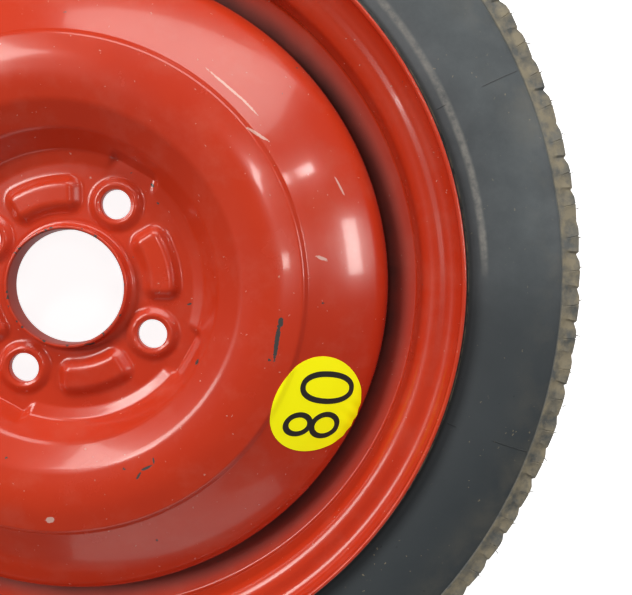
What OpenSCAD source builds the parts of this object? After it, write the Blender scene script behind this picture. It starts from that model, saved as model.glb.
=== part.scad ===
// Narrow temporary spare wheel for a car: pressed disc, rolled rim, tyre, snap-in valve and speed label.
// The wheel's axis is Z. z = 0 is the face that bolts against the hub, and +Z points to the outboard side.

/* [Hub fitting] */
// Diameter of the centre bore
bore_d = 60.1; // [54:0.1:66]
// Diameter of the bolt circle
bolt_circle_d = 100; // [98:0.5:108]
// Number of wheel bolts
bolt_count = 4; // [4:1:4]
// Through diameter of each bolt hole
bolt_hole_d = 15.5; // [13:0.1:16]
// Front diameter of the cone seat in each bolt hole
bolt_seat_d = 17; // [16.2:0.1:18]
// Turn of the bolt pattern about the wheel's axis
bolt_turn = 59.7; // [0:0.1:90]
// Distance from the rim's middle plane to the mounting face
wheel_offset = 45; // [42:1:48]

/* [Wheel disc] */
// Thickness of the disc's sheet
disc_t = 3.2; // [2.8:0.1:3.6]
// Radius of the flat round the bore
hub_flat_r = 64.3; // [63:0.1:66]
// Height of the bore collar above the mounting face
collar_h = 10.5; // [8:0.1:13]
// Wall of the collar at its lip
collar_wall = 1.9; // [1.4:0.1:2.4]
// Height of a bolt boss above the flat
boss_h = 3; // [2:0.1:4]
// Radius of a bolt boss at its top
boss_top_r = 10; // [9.4:0.1:11]
// Radius of a bolt boss at its foot
boss_foot_r = 15.4; // [14.5:0.1:15.6]
// Height of a kidney pad above the flat
pad_h = 4.5; // [3:0.1:5.5]
// Inner radius of a kidney pad's top
pad_in_r = 43; // [42.6:0.1:45]
// Outer radius of a kidney pad's top
pad_out_r = 54.2; // [52:0.1:56]
// Angle that a kidney pad's top spans
pad_span = 36; // [28:1:38]
// Width of a kidney pad's sloped flank
pad_flank = 4.8; // [4:0.1:5.2]
// Radius of a kidney pad's corners, at its top
pad_corner_r = 2.6; // [2:0.1:4]
// Height of the dome's crest
crest_h = 29.2; // [27:0.1:32]
// Width from the top of the dished wall to the dome's crest
crest_w = 26.7; // [24:0.1:29]
// Width from the crest to the crease ring
crease_w = 18; // [16:0.1:20]
// Drop of the step at the crease ring
crease_drop = 2.2; // [1.6:0.1:2.8]
// Height at which the dome's slope would meet the skirt, above the mounting face
dome_end_h = -0.75; // [-3:0.05:2]
// Radius of the rounding between dome and skirt
shoulder_r = 18; // [14:0.5:20]
// Depth of the skirt's end below the mounting face
skirt_depth = 54; // [50:0.5:56]

/* [Rim] */
// Nominal diameter of the bead seats
seat_d = 380.2; // [379:0.1:382]
// Width between the flanges
rim_w = 101.6; // [99:0.1:104]
// Thickness of the rim's sheet
rim_t = 2.3; // [2:0.1:2.6]
// Height of a flange above the bead seat
flange_h = 17.3; // [16:0.1:18]
// Radius of a flange's curl, on the tyre's side
flange_r = 9.5; // [9:0.1:10]
// Depth of the well below the bead seat
well_depth = 17.3; // [17:0.1:19]

/* [Tyre] */
// Outer diameter of the tyre
tyre_d = 543; // [538:1:548]
// Width of the tyre over its sidewalls
tyre_w = 115; // [112:0.5:118]
// Width of the tread
tread_w = 93; // [88:0.5:96]
// Depth of the tread grooves
tread_depth = 4.5; // [3:0.1:5.5]
// Number of shoulder notches on each side
pitch_count = 96; // [72:1:110]
// Width of a shoulder notch
notch_w = 5; // [3.5:0.1:6.5]

/* [Valve] */
// Place of the valve round the rim
valve_turn = 180; // [150:1:210]
// Diameter of the valve hole
valve_hole_d = 11.3; // [11:0.1:11.8]
// Distance of the valve hole from the step's middle, towards the well
valve_shift = 0.7; // [0:0.1:1.2]
// Length of the stem that stands out of the rim
valve_len = 32; // [30:0.5:34]
// Travel of the valve core pin
pin_travel = 1.2; // [0.8:0.1:1.5]

/* [Speed label] */
// Diameter of the label
label_d = 52.7; // [48:0.1:56]
// Distance of the label's middle from the skirt
label_inset = 26.5; // [25:0.5:29]
// Place of the label round the disc
label_turn = -26; // [-40:0.5:-10]
// Thickness of the label
label_t = 0.25; // [0.2:0.05:0.4]

/* [Hidden] */
$fn = 96;
arc_step = 8;
eps = 0.01;

paint_red = [0.72, 0.16, 0.10];
tyre_grey = [0.24, 0.27, 0.28];
rubber_black = [0.08, 0.08, 0.08];
brass_yellow = [0.78, 0.62, 0.30];
label_yellow = [0.93, 0.90, 0.10];
steel_grey = [0.62, 0.62, 0.64];
ptfe_white = [0.88, 0.86, 0.82];

// Outlines: a path is a list of [x, y, corner radius]
function unit(v) = v / norm(v);
function turn_short(a) = a > 180 ? a - 360 : (a < -180 ? a + 360 : a);
function arc(c, r, a0, a1) =
    let (n = max(1, ceil(abs(a1 - a0) / arc_step)))
    [for (i = [0:n]) c + r * [cos(a0 + (a1 - a0) * i / n), sin(a0 + (a1 - a0) * i / n)]];
function corner(before, at, after, r) =
    let (u = unit(before - at), v = unit(after - at), half = acos(u * v) / 2,
         c = at + unit(u + v) * r / sin(half),
         s = at + u * r / tan(half) - c,
         e = at + v * r / tan(half) - c,
         a0 = atan2(s.y, s.x))
    arc(c, r, a0, a0 + turn_short(atan2(e.y, e.x) - a0));
function flat(p) = [p.x, p.y];
function is_plain(path, i) = i <= 0 || i >= len(path) - 1 || path[i][2] == 0;
function half_angle(path, i) =
    acos(unit(flat(path[i - 1]) - flat(path[i])) * unit(flat(path[i + 1]) - flat(path[i]))) / 2;
// How far a corner's rounding reaches along its walls
function reach(path, i) = is_plain(path, i) ? 0 : path[i][2] / tan(half_angle(path, i));
// The share of two roundings that the wall between them has room for
function room(path, i) = let (wall = norm(flat(path[i + 1]) - flat(path[i])), taken = reach(path, i) + reach(path, i + 1))
    taken > 0.99 * wall ? 0.99 * wall / taken : 1;
function rounded(path) =
    [for (i = [0:len(path) - 1])
        each (is_plain(path, i)
              ? [flat(path[i])]
              : corner(flat(path[i - 1]), flat(path[i]), flat(path[i + 1]),
                       path[i][2] * min(room(path, i - 1), room(path, i))))];
// The line beside a smooth path, at distance d to its right
function beside(line, d) =
    [for (i = [0:len(line) - 1])
        let (before = i == 0 ? line[1] - line[0] : line[i] - line[i - 1],
             after = i == len(line) - 1 ? line[i] - line[i - 1] : line[i + 1] - line[i],
             u = unit(unit(before) + unit(after)),
             stretch = u * unit(after))
        line[i] + [u.y, -u.x] * d / stretch];
function backwards(line) = [for (i = [len(line) - 1:-1:0]) line[i]];
function shifted(line, by) = [for (p = line) p + by];
// A sheet's section between a line and the line beside it
function sheet(line, t) = concat(line, backwards(beside(line, t)));
// A sheet's section with both ends rounded
function round_sheet(line, t) =
    let (far = beside(line, t), n = len(line) - 1,
         first = (line[0] + far[0]) / 2, last = (line[n] + far[n]) / 2,
         a = atan2((far[0] - first).y, (far[0] - first).x),
         b = atan2((line[n] - last).y, (line[n] - last).x))
    concat(line, arc(last, t / 2, b, b - 180), backwards(far), arc(first, t / 2, a, a - 180));

// Wheel disc
bore_r = bore_d / 2;
bolt_circle_r = bolt_circle_d / 2;
seat_r = seat_d / 2;
skirt_r = seat_r - well_depth - rim_t;
collar_foot_r = bore_r + 5;
toe_r = hub_flat_r + 7;
toe_z = disc_t + 2.4;
wall_top_r = toe_r + 9;
wall_top_z = disc_t + 14.6;
crest_r = wall_top_r + crest_w;
crease_r = crest_r + crease_w;
crest_round = 3.6;
crease_z = crest_h - crest_round;
dome_foot_r = crease_r + 1.2;
dome_foot_z = crease_z - crease_drop;
dome_slope = atan2(dome_foot_z - dome_end_h, skirt_r - dome_foot_r);
disc_line = rounded([
    [collar_foot_r, disc_t, 0],
    [hub_flat_r, disc_t, 6],
    [toe_r, toe_z, 5],
    [wall_top_r, wall_top_z, 9],
    [wall_top_r + 0.45 * crest_w, crest_h - crest_round, 30],
    [crest_r, crest_h, 40],
    [crease_r - 1.2, crease_z, 3.8],
    [dome_foot_r, dome_foot_z, 3],
    [skirt_r, dome_end_h, shoulder_r],
    [skirt_r, -skirt_depth, 0]]);

// Tool clearance beside each bolt: the toe of the dished wall is pressed out to a flat facet
facet_half_w = 12.6;
facet_r = toe_r - 0.4;
facet_lean = atan2(wall_top_r - toe_r + 0.6, wall_top_z - disc_t);

collar_line = [[bore_r, 0], [bore_r, collar_h - 0.4], [bore_r + 0.4, collar_h],
               [bore_r + collar_wall - 0.5, collar_h], [bore_r + collar_wall, collar_h - 0.6],
               [bore_r + collar_wall + 0.4, disc_t + 3.4], [bore_r + 3.3, disc_t + 1]];
module disc_section() polygon(concat(collar_line, disc_line, backwards(beside(disc_line, disc_t))));

// The sloped edge of a pressed form: how far out it runs and how high it stands, from top to foot.
// The foot dips just under the surface that the form stands on, so that the two meet at a clean line.
foot_dip = 0.12;
function press_edge(w, h) = [[0, h], [0.2 * w, 0.93 * h], [0.38 * w, 0.74 * h],
                             [0.66 * w, 0.28 * h], [0.84 * w, 0.08 * h], [1.03 * w, -foot_dip]];

// The plainer edge of the pocket behind a pressed form
function pocket_edge(w, h) = [[0, h], [0.7, h - 0.4], [w + 0.5, -0.5]];

// A raised form with the plan of a rounded ring sector, standing from z = -foot_depth up to h
module kidney(r_in, r_out, span, corner_r, edge, foot_depth) {
    h = edge[0].y;
    half_turn = span / 2 - atan2(corner_r, (r_in + r_out) / 2);
    foot = edge[len(edge) - 1].x;
    across = concat([for (p = edge) [r_out + p.x, p.y]],
                    [[r_out + foot, -foot_depth], [r_in - foot, -foot_depth]],
                    backwards([for (p = edge) [r_in - p.x, p.y]]));
    outwards = [for (p = edge) [corner_r + p.x, p.y]];
    along = concat(outwards, [[corner_r + foot, -foot_depth], [-0.5, -foot_depth], [-0.5, h]]);
    post = concat(outwards, [[corner_r + foot, -foot_depth], [0, -foot_depth], [0, h]]);
    rotate([0, 0, -half_turn]) rotate_extrude(angle = 2 * half_turn) polygon(across);
    for (side = [-1, 1]) rotate([0, 0, side * half_turn]) {
        for (r = [r_in + corner_r, r_out - corner_r])
            translate([r, 0, 0]) rotate_extrude() polygon(post);
        translate([r_in + corner_r, 0, 0]) mirror([0, side < 0 ? 1 : 0, 0])
            rotate([90, 0, 90]) linear_extrude(r_out - r_in - 2 * corner_r) polygon(along);
    }
}

module at_bolts(between = 0)
    for (i = [0:bolt_count - 1])
        rotate([0, 0, bolt_turn + (i + between) * 360 / bolt_count]) children();

module boss_outside() {
    edge = press_edge(boss_foot_r - boss_top_r, boss_h);
    translate([bolt_circle_r, 0, disc_t]) rotate_extrude()
        polygon(concat([for (p = edge) [boss_top_r + p.x, p.y]],
                       [[boss_top_r + edge[len(edge) - 1].x, -0.8], [0, -0.8], [0, boss_h]]));
}

module boss_inside() {
    pocket_r = bolt_hole_d / 2 + 0.9;
    depth = boss_h - 0.4;
    translate([bolt_circle_r, 0, 0]) rotate_extrude()
        polygon([[0, depth], [pocket_r, depth], [boss_foot_r - 3.4, 0.5], [boss_foot_r - 2, -1], [0, -1]]);
}

module bolt_hole() {
    seat_z = disc_t + boss_h;
    seat_drop = (bolt_seat_d - bolt_hole_d) / 2 / tan(30);
    translate([bolt_circle_r, 0, 0]) rotate_extrude()
        polygon([[0, -1], [bolt_hole_d / 2, -1], [bolt_hole_d / 2, seat_z - seat_drop],
                 [bolt_seat_d / 2 + 2 * tan(30), seat_z + 2], [0, seat_z + 2]]);
}

// The wedge that the tool clearance takes out of the wall's toe, grown by the sheet for the pressed side
module facet_wedge(grow) {
    top = wall_top_z + 4;
    foot_x = facet_r + grow;
    rotate([90, 0, 0]) translate([0, 0, -facet_half_w - grow]) linear_extrude(2 * (facet_half_w + grow))
        polygon([[hub_flat_r - 4, disc_t - grow], [foot_x, disc_t - grow], [foot_x, disc_t],
                 [foot_x + (top - disc_t) * tan(facet_lean), top], [hub_flat_r - 4, top]]);
}

module under_disc_surface()
    rotate_extrude() polygon(concat([[hub_flat_r - 6, 0], [hub_flat_r - 6, disc_t]],
        [for (p = disc_line) if (p.x > hub_flat_r - 5 && p.x < crest_r) p], [[crest_r, 0]]));

module wheel_disc() color(paint_red) difference() {
    union() {
        rotate_extrude() disc_section();
        at_bolts() boss_outside();
        at_bolts(0.5) translate([0, 0, disc_t])
            kidney(pad_in_r, pad_out_r, pad_span, pad_corner_r, press_edge(pad_flank, pad_h), 0.8);
        intersection() {
            under_disc_surface();
            at_bolts() facet_wedge(disc_t);
        }
    }
    at_bolts() facet_wedge(0);
    at_bolts() boss_inside();
    at_bolts() bolt_hole();
    at_bolts(0.5)
        kidney(pad_in_r + 1.4, pad_out_r - 1.4, pad_span - 3, pad_corner_r, pocket_edge(pad_flank - 0.8, pad_h), 1);
}

// Rim: the tyre's side is given from the outboard flange to the inboard one, as [radius, place across]
rim_half = rim_w / 2;
flange_top_r = seat_r + flange_h;
well_r = seat_r - well_depth;
lip_turn = 21;
seat_taper = tan(5);
hump_w = rim_half - 19.8;
seat_end_w = hump_w + 5.5;
hump_r = seat_r - 0.2;
step_lean = 20;
well_out_w = hump_w - (hump_r - well_r) * tan(step_lean);
well_in_w = -19;
function side_path(side) = [
    [seat_r, side * rim_half, 6.5],
    [seat_r - (rim_half - seat_end_w) * seat_taper, side * seat_end_w, 5]];
function flange_arc(side) =
    let (c = [flange_top_r - flange_r, side * (rim_half + flange_r)])
    side > 0 ? arc(c, flange_r, lip_turn, -90) : arc(c, flange_r, 90, -lip_turn);
rim_line = rounded(concat(
    [for (p = flange_arc(1)) [p.x, p.y, 0]],
    side_path(1),
    [[hump_r, hump_w, 4], [well_r, well_out_w, 3], [well_r, well_in_w, 8], [hump_r, -hump_w, 6]],
    backwards(side_path(-1)),
    [for (p = flange_arc(-1)) [p.x, p.y, 0]]));

// Valve: its own axis starts on the tyre's side of the rim's step
valve_seat_r = (hump_r + well_r) / 2 - valve_shift * cos(step_lean);
valve_seat_w = (hump_w + well_out_w) / 2 - valve_shift * sin(step_lean);
module at_valve()
    rotate([0, 0, valve_turn]) translate([valve_seat_r, 0, valve_seat_w - wheel_offset])
        rotate([0, -step_lean, 0]) children();

module rim() color(paint_red) difference() {
    translate([0, 0, -wheel_offset]) rotate_extrude() polygon(round_sheet(rim_line, rim_t));
    at_valve() translate([0, 0, -4]) cylinder(d = valve_hole_d, h = 10);
}

// Weld beads between the skirt's end and the well
weld_count = 8;
weld_span = 22;
weld_leg = disc_t;
module weld_beads() color(paint_red)
    for (i = [0:weld_count - 1]) rotate([0, 0, (i + 0.5) * 360 / weld_count - weld_span / 2])
        rotate_extrude(angle = weld_span)
            polygon([[skirt_r, -skirt_depth], [skirt_r - weld_leg, -skirt_depth],
                     [skirt_r - 0.72 * weld_leg, -skirt_depth - 0.62 * weld_leg],
                     [skirt_r - 0.30 * weld_leg, -skirt_depth - 0.95 * weld_leg],
                     [skirt_r, -skirt_depth - 1.1 * weld_leg]]);

// Tyre: half of the outside from the tread's middle to the bead's toe, as [radius, place across]
tyre_r = tyre_d / 2;
tread_half = tread_w / 2;
tyre_half = tyre_w / 2;
bead_gap = 0.2;
toe_w = rim_half - 17;
bead_seat_r = seat_r + bead_gap;
groove_w = 6;
groove_place = 0.5 * tread_half;
line_ring_r = flange_top_r + 2.2;
shoulder_line_r = tyre_r - 9.5;
sidewall_t = 5.4;
crown_t = 10;
sidewall_h = shoulder_line_r - line_ring_r;
inner_foot_r = seat_r + 6;
inner_h = tyre_r - crown_t - inner_foot_r;
function groove_path(w) = [
    [tyre_r - 0.4, w - groove_w / 2, 0], [tyre_r - 0.4 - tread_depth, w - groove_w / 2 + 1.2, 0],
    [tyre_r - 0.4 - tread_depth, w + groove_w / 2 - 1.2, 0], [tyre_r - 0.4, w + groove_w / 2, 0]];
half_outside = rounded(concat(
    [[tyre_r - tread_depth, 0, 0], [tyre_r - tread_depth, groove_w / 2 - 1.2, 0], [tyre_r, groove_w / 2, 0]],
    groove_path(groove_place),
    [[tyre_r - 1.2, tread_half, 2.5],
     [shoulder_line_r, tyre_half - 4.2, 2],
     [shoulder_line_r - 1.6, tyre_half - 4.0, 1],
     [line_ring_r + 0.75 * sidewall_h, tyre_half - 0.6, 30],
     [line_ring_r + 0.34 * sidewall_h, tyre_half - 0.2, 30],
     [line_ring_r + 2.2, rim_half + 2.4, 3],
     [line_ring_r + 1.3, rim_half + 3.0, 0.4],
     [line_ring_r - 0.2, rim_half + 2.7, 0.4],
     [line_ring_r - 0.8, rim_half + 1.6, 1],
     [seat_r + 11, rim_half - bead_gap, 8],
     [bead_seat_r, rim_half - bead_gap, 6.3],
     [bead_seat_r - (rim_half - toe_w) * seat_taper, toe_w, 0]]));
half_inside = rounded([
    [bead_seat_r - (rim_half - toe_w) * seat_taper, toe_w, 0],
    [inner_foot_r, toe_w + 3, 8],
    [inner_foot_r + 0.20 * inner_h, tyre_half - 2 * sidewall_t, 14],
    [inner_foot_r + 0.48 * inner_h, tyre_half - sidewall_t, 26],
    [inner_foot_r + 0.79 * inner_h, tyre_half - sidewall_t, 20],
    [tyre_r - crown_t - 0.5, tread_half - 8, 12],
    [tyre_r - crown_t, 0, 0]]);
function other_side(line) = [for (p = backwards(line)) [p.x, -p.y]];

// The notch's cut through the tread's edge, seen along the notch, and its slant across the shoulder
module shoulder_notch() {
    rotate([90, 0, 0]) linear_extrude(notch_w, center = true)
        polygon([[tyre_r - 3.6, tread_half - 7], [tyre_r + 2, tread_half - 7], [tyre_r + 2, tread_half + 9],
                 [shoulder_line_r + 2.6, tread_half + 9], [shoulder_line_r + 3.4, tread_half + 2.2]]);
}

module tyre() color(tyre_grey) translate([0, 0, -wheel_offset]) difference() {
    rotate_extrude() polygon(concat(half_outside, half_inside, other_side(half_inside), other_side(half_outside)));
    for (i = [0:pitch_count - 1]) rotate([0, 0, i * 360 / pitch_count]) {
        shoulder_notch();
        rotate([0, 0, 180 / pitch_count]) mirror([0, 0, 1]) shoulder_notch();
    }
}

// Speed label: a round patch of a thin layer that lies on the disc's painted face
label_lift = 0.05;
label_r = skirt_r - label_inset;
label_z = dome_foot_z - (label_r - dome_foot_r) * tan(dome_slope);
module speed_label() color(label_yellow) intersection() {
    rotate_extrude() polygon(concat(
        beside([for (p = disc_line) if (p.x > crest_r) p], -label_lift - label_t),
        backwards(beside([for (p = disc_line) if (p.x > crest_r) p], -label_lift))));
    rotate([0, 0, label_turn]) translate([label_r, 0, label_z]) rotate([0, dome_slope, 0])
        cylinder(d = label_d, h = label_d, center = true);
}

// Snap-in valve, on its own axis: z = 0 is the tyre's side of the rim
stem_top = rim_t + valve_len;
stem_bottom = -12;
stem_r = 3;
thread_r = 3.85;
thread_len = 10.5;
rubber_top = stem_top - thread_len;
rubber_bulb_r = 6.8;
rubber_head_r = 7;
stem_bore_r = 1.95;
chamber_r = 2.65;
chamber_bottom = stem_top - 9.5;
module valve_body() color(rubber_black) at_valve() rotate_extrude()
    polygon([[stem_r, stem_bottom + 1], [5.6, stem_bottom + 1], [6.2, stem_bottom + 2], [rubber_head_r, -2.2],
             [rubber_head_r, -0.8], [rubber_head_r - 0.8, 0], [valve_hole_d / 2, 0], [valve_hole_d / 2, rim_t],
             [rubber_bulb_r - 0.6, rim_t], [rubber_bulb_r, rim_t + 0.8], [rubber_bulb_r - 0.3, rim_t + 4],
             [6, rim_t + 9], [5, rubber_top - 4], [4.7, rubber_top - 0.6], [4.2, rubber_top], [stem_r, rubber_top]]);

module valve_stem() color(brass_yellow) at_valve() rotate_extrude()
    polygon([[stem_bore_r, stem_bottom], [stem_r, stem_bottom], [stem_r, rubber_top], [thread_r - 0.4, rubber_top],
             [thread_r, rubber_top + 0.4], [thread_r, stem_top - 0.6], [thread_r - 0.6, stem_top],
             [chamber_r, stem_top], [chamber_r, chamber_bottom], [stem_bore_r, chamber_bottom - 1.2]]);

// Valve core: the plug screws into the chamber, and its barrel hangs in the stem's bore
pin_r = 0.5;
pin_top = stem_top - 0.3;
plug_top = stem_top - 1;
plug_bottom = plug_top - 5;
gasket_top = chamber_bottom + 1;
gasket_h = 1.6;
barrel_r = 1.6;
barrel_hollow_r = 1.25;
barrel_bottom = plug_bottom - 14;
barrel_mouth_r = pin_r + 0.3;
module core_plug() color(brass_yellow) at_valve() difference() {
    rotate_extrude()
        polygon([[barrel_mouth_r, plug_top], [chamber_r - 0.3, plug_top], [chamber_r, plug_top - 0.3], [chamber_r, plug_bottom],
                 [1.9, plug_bottom - 0.6], [1.9, gasket_top], [barrel_r, gasket_top], [barrel_r, barrel_bottom],
                 [barrel_mouth_r + 0.1, barrel_bottom], [barrel_mouth_r + 0.1, barrel_bottom + 1],
                 [barrel_hollow_r, barrel_bottom + 1], [barrel_hollow_r, gasket_top - 1], [barrel_mouth_r, gasket_top]]);
    for (side = [-1, 1]) translate([side * (chamber_r + 0.2), 0, plug_top - 1])
        cube([1.6, 1.2, 2.6], center = true);
}

module core_gasket() color(ptfe_white) at_valve() rotate_extrude()
    polygon([[barrel_r, gasket_top], [chamber_r - 0.2, gasket_top], [stem_bore_r - 0.05, gasket_top - gasket_h],
             [barrel_r, gasket_top - gasket_h]]);

seal_top = barrel_bottom;
seal_h = 1.4;
collar_z = barrel_bottom + 2 + pin_travel;
module core_pin() color(brass_yellow) at_valve() rotate_extrude()
    polygon([[0, pin_top], [pin_r - 0.15, pin_top], [pin_r, pin_top - 0.2], [pin_r, collar_z + 0.5],
             [barrel_hollow_r - 0.3, collar_z + 0.5], [barrel_hollow_r - 0.3, collar_z], [pin_r, collar_z],
             [pin_r, seal_top - seal_h], [1.5, seal_top - seal_h], [1.5, seal_top - seal_h - 0.6],
             [0, seal_top - seal_h - 0.6]]);

module core_seal() color(rubber_black) at_valve() translate([0, 0, seal_top - seal_h]) difference() {
    cylinder(r = 1.4, h = seal_h);
    translate([0, 0, -1]) cylinder(r = pin_r, h = seal_h + 2);
}

// Spring: a wire swept round the pin, between the pin's collar and the barrel's top
wire_r = 0.14;
spring_r = 0.85;
spring_bottom = collar_z + 0.5 + wire_r;
spring_top = gasket_top - 1.2 - wire_r;
spring_turns = 9;
spring_steps = 16;
wire_sides = 6;
module core_spring() color(steel_grey) at_valve() {
    rings = spring_turns * spring_steps;
    rise = (spring_top - spring_bottom) / rings;
    points = [for (i = [0:rings]) let (a = i * 360 / spring_steps)
        for (j = [0:wire_sides - 1]) let (b = j * 360 / wire_sides, r = spring_r + wire_r * cos(b))
            [r * cos(a), r * sin(a), spring_bottom + i * rise + wire_r * sin(b)]];
    sides = [for (i = [0:rings - 1]) for (j = [0:wire_sides - 1]) let (k = (j + 1) % wire_sides)
        [i * wire_sides + j, i * wire_sides + k, (i + 1) * wire_sides + k, (i + 1) * wire_sides + j]];
    polyhedron(points, concat(sides, [[for (j = [wire_sides - 1:-1:0]) j],
                                      [for (j = [0:wire_sides - 1]) rings * wire_sides + j]]));
}

// Valve cap
cap_r = 4.9;
cap_bore_r = thread_r + 0.3;
cap_bottom = rubber_top + 1;
cap_top = stem_top + 3;
cap_seal_h = 1;
cap_rib_count = 14;
module valve_cap() color(rubber_black) at_valve() difference() {
    rotate_extrude() polygon([[cap_bore_r, cap_bottom], [cap_r, cap_bottom], [cap_r, cap_top - 1.2], [cap_r - 1.2, cap_top],
                              [0, cap_top], [0, stem_top + 0.3 + cap_seal_h], [cap_bore_r, stem_top + 0.3 + cap_seal_h]]);
    for (i = [0:cap_rib_count - 1]) rotate([0, 0, i * 360 / cap_rib_count])
        translate([cap_r + 0.25, 0, cap_bottom + 1.2]) cylinder(r = 0.6, h = cap_top - cap_bottom, $fn = 16);
}

module cap_seal() color(rubber_black) at_valve() translate([0, 0, stem_top + 0.3])
    cylinder(r = cap_bore_r, h = cap_seal_h);

wheel_disc();
rim();
weld_beads();
tyre();
speed_label();
valve_body();
valve_stem();
core_plug();
core_gasket();
core_pin();
core_seal();
core_spring();
valve_cap();
cap_seal();
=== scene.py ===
"""The looks of a narrow temporary spare wheel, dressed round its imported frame."""

import logging
import math
import time
from dataclasses import dataclass
from enum import Enum
from typing import Callable, ClassVar, Sequence, Union

import bpy
import numpy as np
from mathutils import Matrix, Vector


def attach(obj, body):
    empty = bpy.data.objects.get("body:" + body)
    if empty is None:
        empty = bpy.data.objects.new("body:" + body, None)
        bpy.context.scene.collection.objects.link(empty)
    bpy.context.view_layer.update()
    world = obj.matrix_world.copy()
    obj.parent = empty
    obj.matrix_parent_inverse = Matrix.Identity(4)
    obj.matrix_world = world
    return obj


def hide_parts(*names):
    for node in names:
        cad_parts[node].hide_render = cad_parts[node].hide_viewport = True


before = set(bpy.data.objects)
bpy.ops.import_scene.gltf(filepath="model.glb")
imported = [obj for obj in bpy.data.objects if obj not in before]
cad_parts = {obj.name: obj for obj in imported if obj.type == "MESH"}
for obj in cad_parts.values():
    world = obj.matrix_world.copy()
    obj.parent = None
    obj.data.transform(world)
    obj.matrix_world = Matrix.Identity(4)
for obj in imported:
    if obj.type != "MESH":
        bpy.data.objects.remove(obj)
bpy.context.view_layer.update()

logging.basicConfig(level=logging.INFO, format="%(message)s")
log = logging.getLogger("spare_wheel")

# MERGE_DISTANCE is in metres, and the other sizes below are in millimetres.
MM = 0.001
MERGE_DISTANCE = 0.000002
SMOOTH_ANGLE = math.radians(32)

BODY_WHEEL = "wheel"
BODY_CAP = "cap"

# The rim's middle lies this far inboard of the face that the disc is bolted on by.
WHEEL_OFFSET = 45.0
SEAT_RADIUS = 190.1
FLANGE_HEIGHT = 17.3
FLANGE_RADIUS = SEAT_RADIUS + FLANGE_HEIGHT
RIM_HALF_WIDTH = 50.8

Colour = tuple[float, float, float, float]
Triple = tuple[float, float, float]
Value = Union[bpy.types.NodeSocket, float, tuple[float, ...]]
GroupStart = tuple[bpy.types.NodeTree, "Shader", bpy.types.Node, bpy.types.NodeSocket]


class Slot(Enum):
    """The material slots."""

    PAINT = "red_paint"
    TYRE = "tyre_rubber"
    LABEL = "label_film"
    VALVE_RUBBER = "valve_rubber"
    BRASS = "brass"
    SPRING = "spring_steel"
    GASKET = "gasket_white"
    CAP = "cap_plastic"


@dataclass(frozen=True)
class Corner:
    """A corner of an outline in millimetres, with the radius that rounds it."""

    r: float
    z: float
    fillet: float = 0.0


def rounded(corners: Sequence[Corner], step: float = 5.0) -> np.ndarray:
    """Turns corners into a smooth line.

    Args:
        corners: The line's corners in order.
        step: The largest turn between two points of an arc, in degrees.

    Returns:
        The line's points, one row of radius and height each.
    """
    points: list[np.ndarray] = []
    for i, corner in enumerate(corners):
        at = np.array([corner.r, corner.z])
        if corner.fillet == 0.0 or i in (0, len(corners) - 1):
            points.append(at)
            continue
        before = np.array([corners[i - 1].r, corners[i - 1].z]) - at
        after = np.array([corners[i + 1].r, corners[i + 1].z]) - at
        before /= np.linalg.norm(before)
        after /= np.linalg.norm(after)
        half = math.acos(float(np.clip(before @ after, -1, 1))) / 2
        middle = before + after
        centre = at + middle / np.linalg.norm(middle) * corner.fillet / math.sin(half)
        start = at + before * corner.fillet / math.tan(half) - centre
        end = at + after * corner.fillet / math.tan(half) - centre
        first = math.atan2(start[1], start[0])
        turn = (math.atan2(end[1], end[0]) - first + math.pi) % math.tau - math.pi
        count = max(1, math.ceil(abs(turn) / math.radians(step)))
        for k in range(count + 1):
            angle = first + turn * k / count
            points.append(centre + corner.fillet * np.array([math.cos(angle), math.sin(angle)]))
    return np.array(points)


def arc(
    centre: tuple[float, float], radius: float, start: float, end: float, step: float = 6.0,
) -> np.ndarray:
    """Gives points on an arc.

    Args:
        centre: The arc's centre.
        radius: Its radius.
        start: Its first angle in degrees.
        end: Its last angle in degrees.
        step: The largest turn between two points, in degrees.

    Returns:
        The arc's points.
    """
    count = max(1, math.ceil(abs(end - start) / step))
    angles = np.radians(np.linspace(start, end, count + 1))
    return np.array(centre) + radius * np.stack([np.cos(angles), np.sin(angles)], 1)


def filled(line: np.ndarray, spacing: float) -> np.ndarray:
    """Adds points to a line.

    Args:
        line: The line's points.
        spacing: The longest step that may be left.

    Returns:
        The line with the added points.
    """
    points = [line[0]]
    for a, b in zip(line[:-1], line[1:]):
        count = max(1, math.ceil(float(np.linalg.norm(b - a)) / spacing))
        points.extend(a + (b - a) * k / count for k in range(1, count + 1))
    return np.array(points)


def beside(line: np.ndarray, distance: float) -> np.ndarray:
    """Draws a smooth line's parallel on its right.

    Args:
        line: The line's points.
        distance: How far away the parallel runs.

    Returns:
        The parallel's points.
    """
    steps = np.diff(line, axis=0)
    steps /= np.linalg.norm(steps, axis=1)[:, None]
    before = np.vstack([steps[:1], steps])
    after = np.vstack([steps, steps[-1:]])
    along = before + after
    along /= np.linalg.norm(along, axis=1)[:, None]
    stretch = (along * after).sum(1)[:, None]
    return line + np.stack([along[:, 1], -along[:, 0]], 1) * distance / stretch


def smooth_step(value: np.ndarray) -> np.ndarray:
    """Goes from 1 at nought to 0 at one along a soft curve."""
    held = np.clip(value, 0, 1)
    return 1 - held * held * (3 - 2 * held)


def rounder_step(value: np.ndarray) -> np.ndarray:
    """Goes from 1 at nought to 0 at one along a curve whose bends start and end gently."""
    held = np.clip(value, 0, 1)
    return 1 - held ** 3 * (10 - 15 * held + 6 * held * held)


def soft_max(a: np.ndarray, b: np.ndarray, blend: float) -> np.ndarray:
    """Takes the larger of two heights and rounds the line where they meet."""
    near = np.clip(0.5 + 0.5 * (a - b) / blend, 0, 1)
    return b + (a - b) * near + blend * near * (1 - near)


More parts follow.
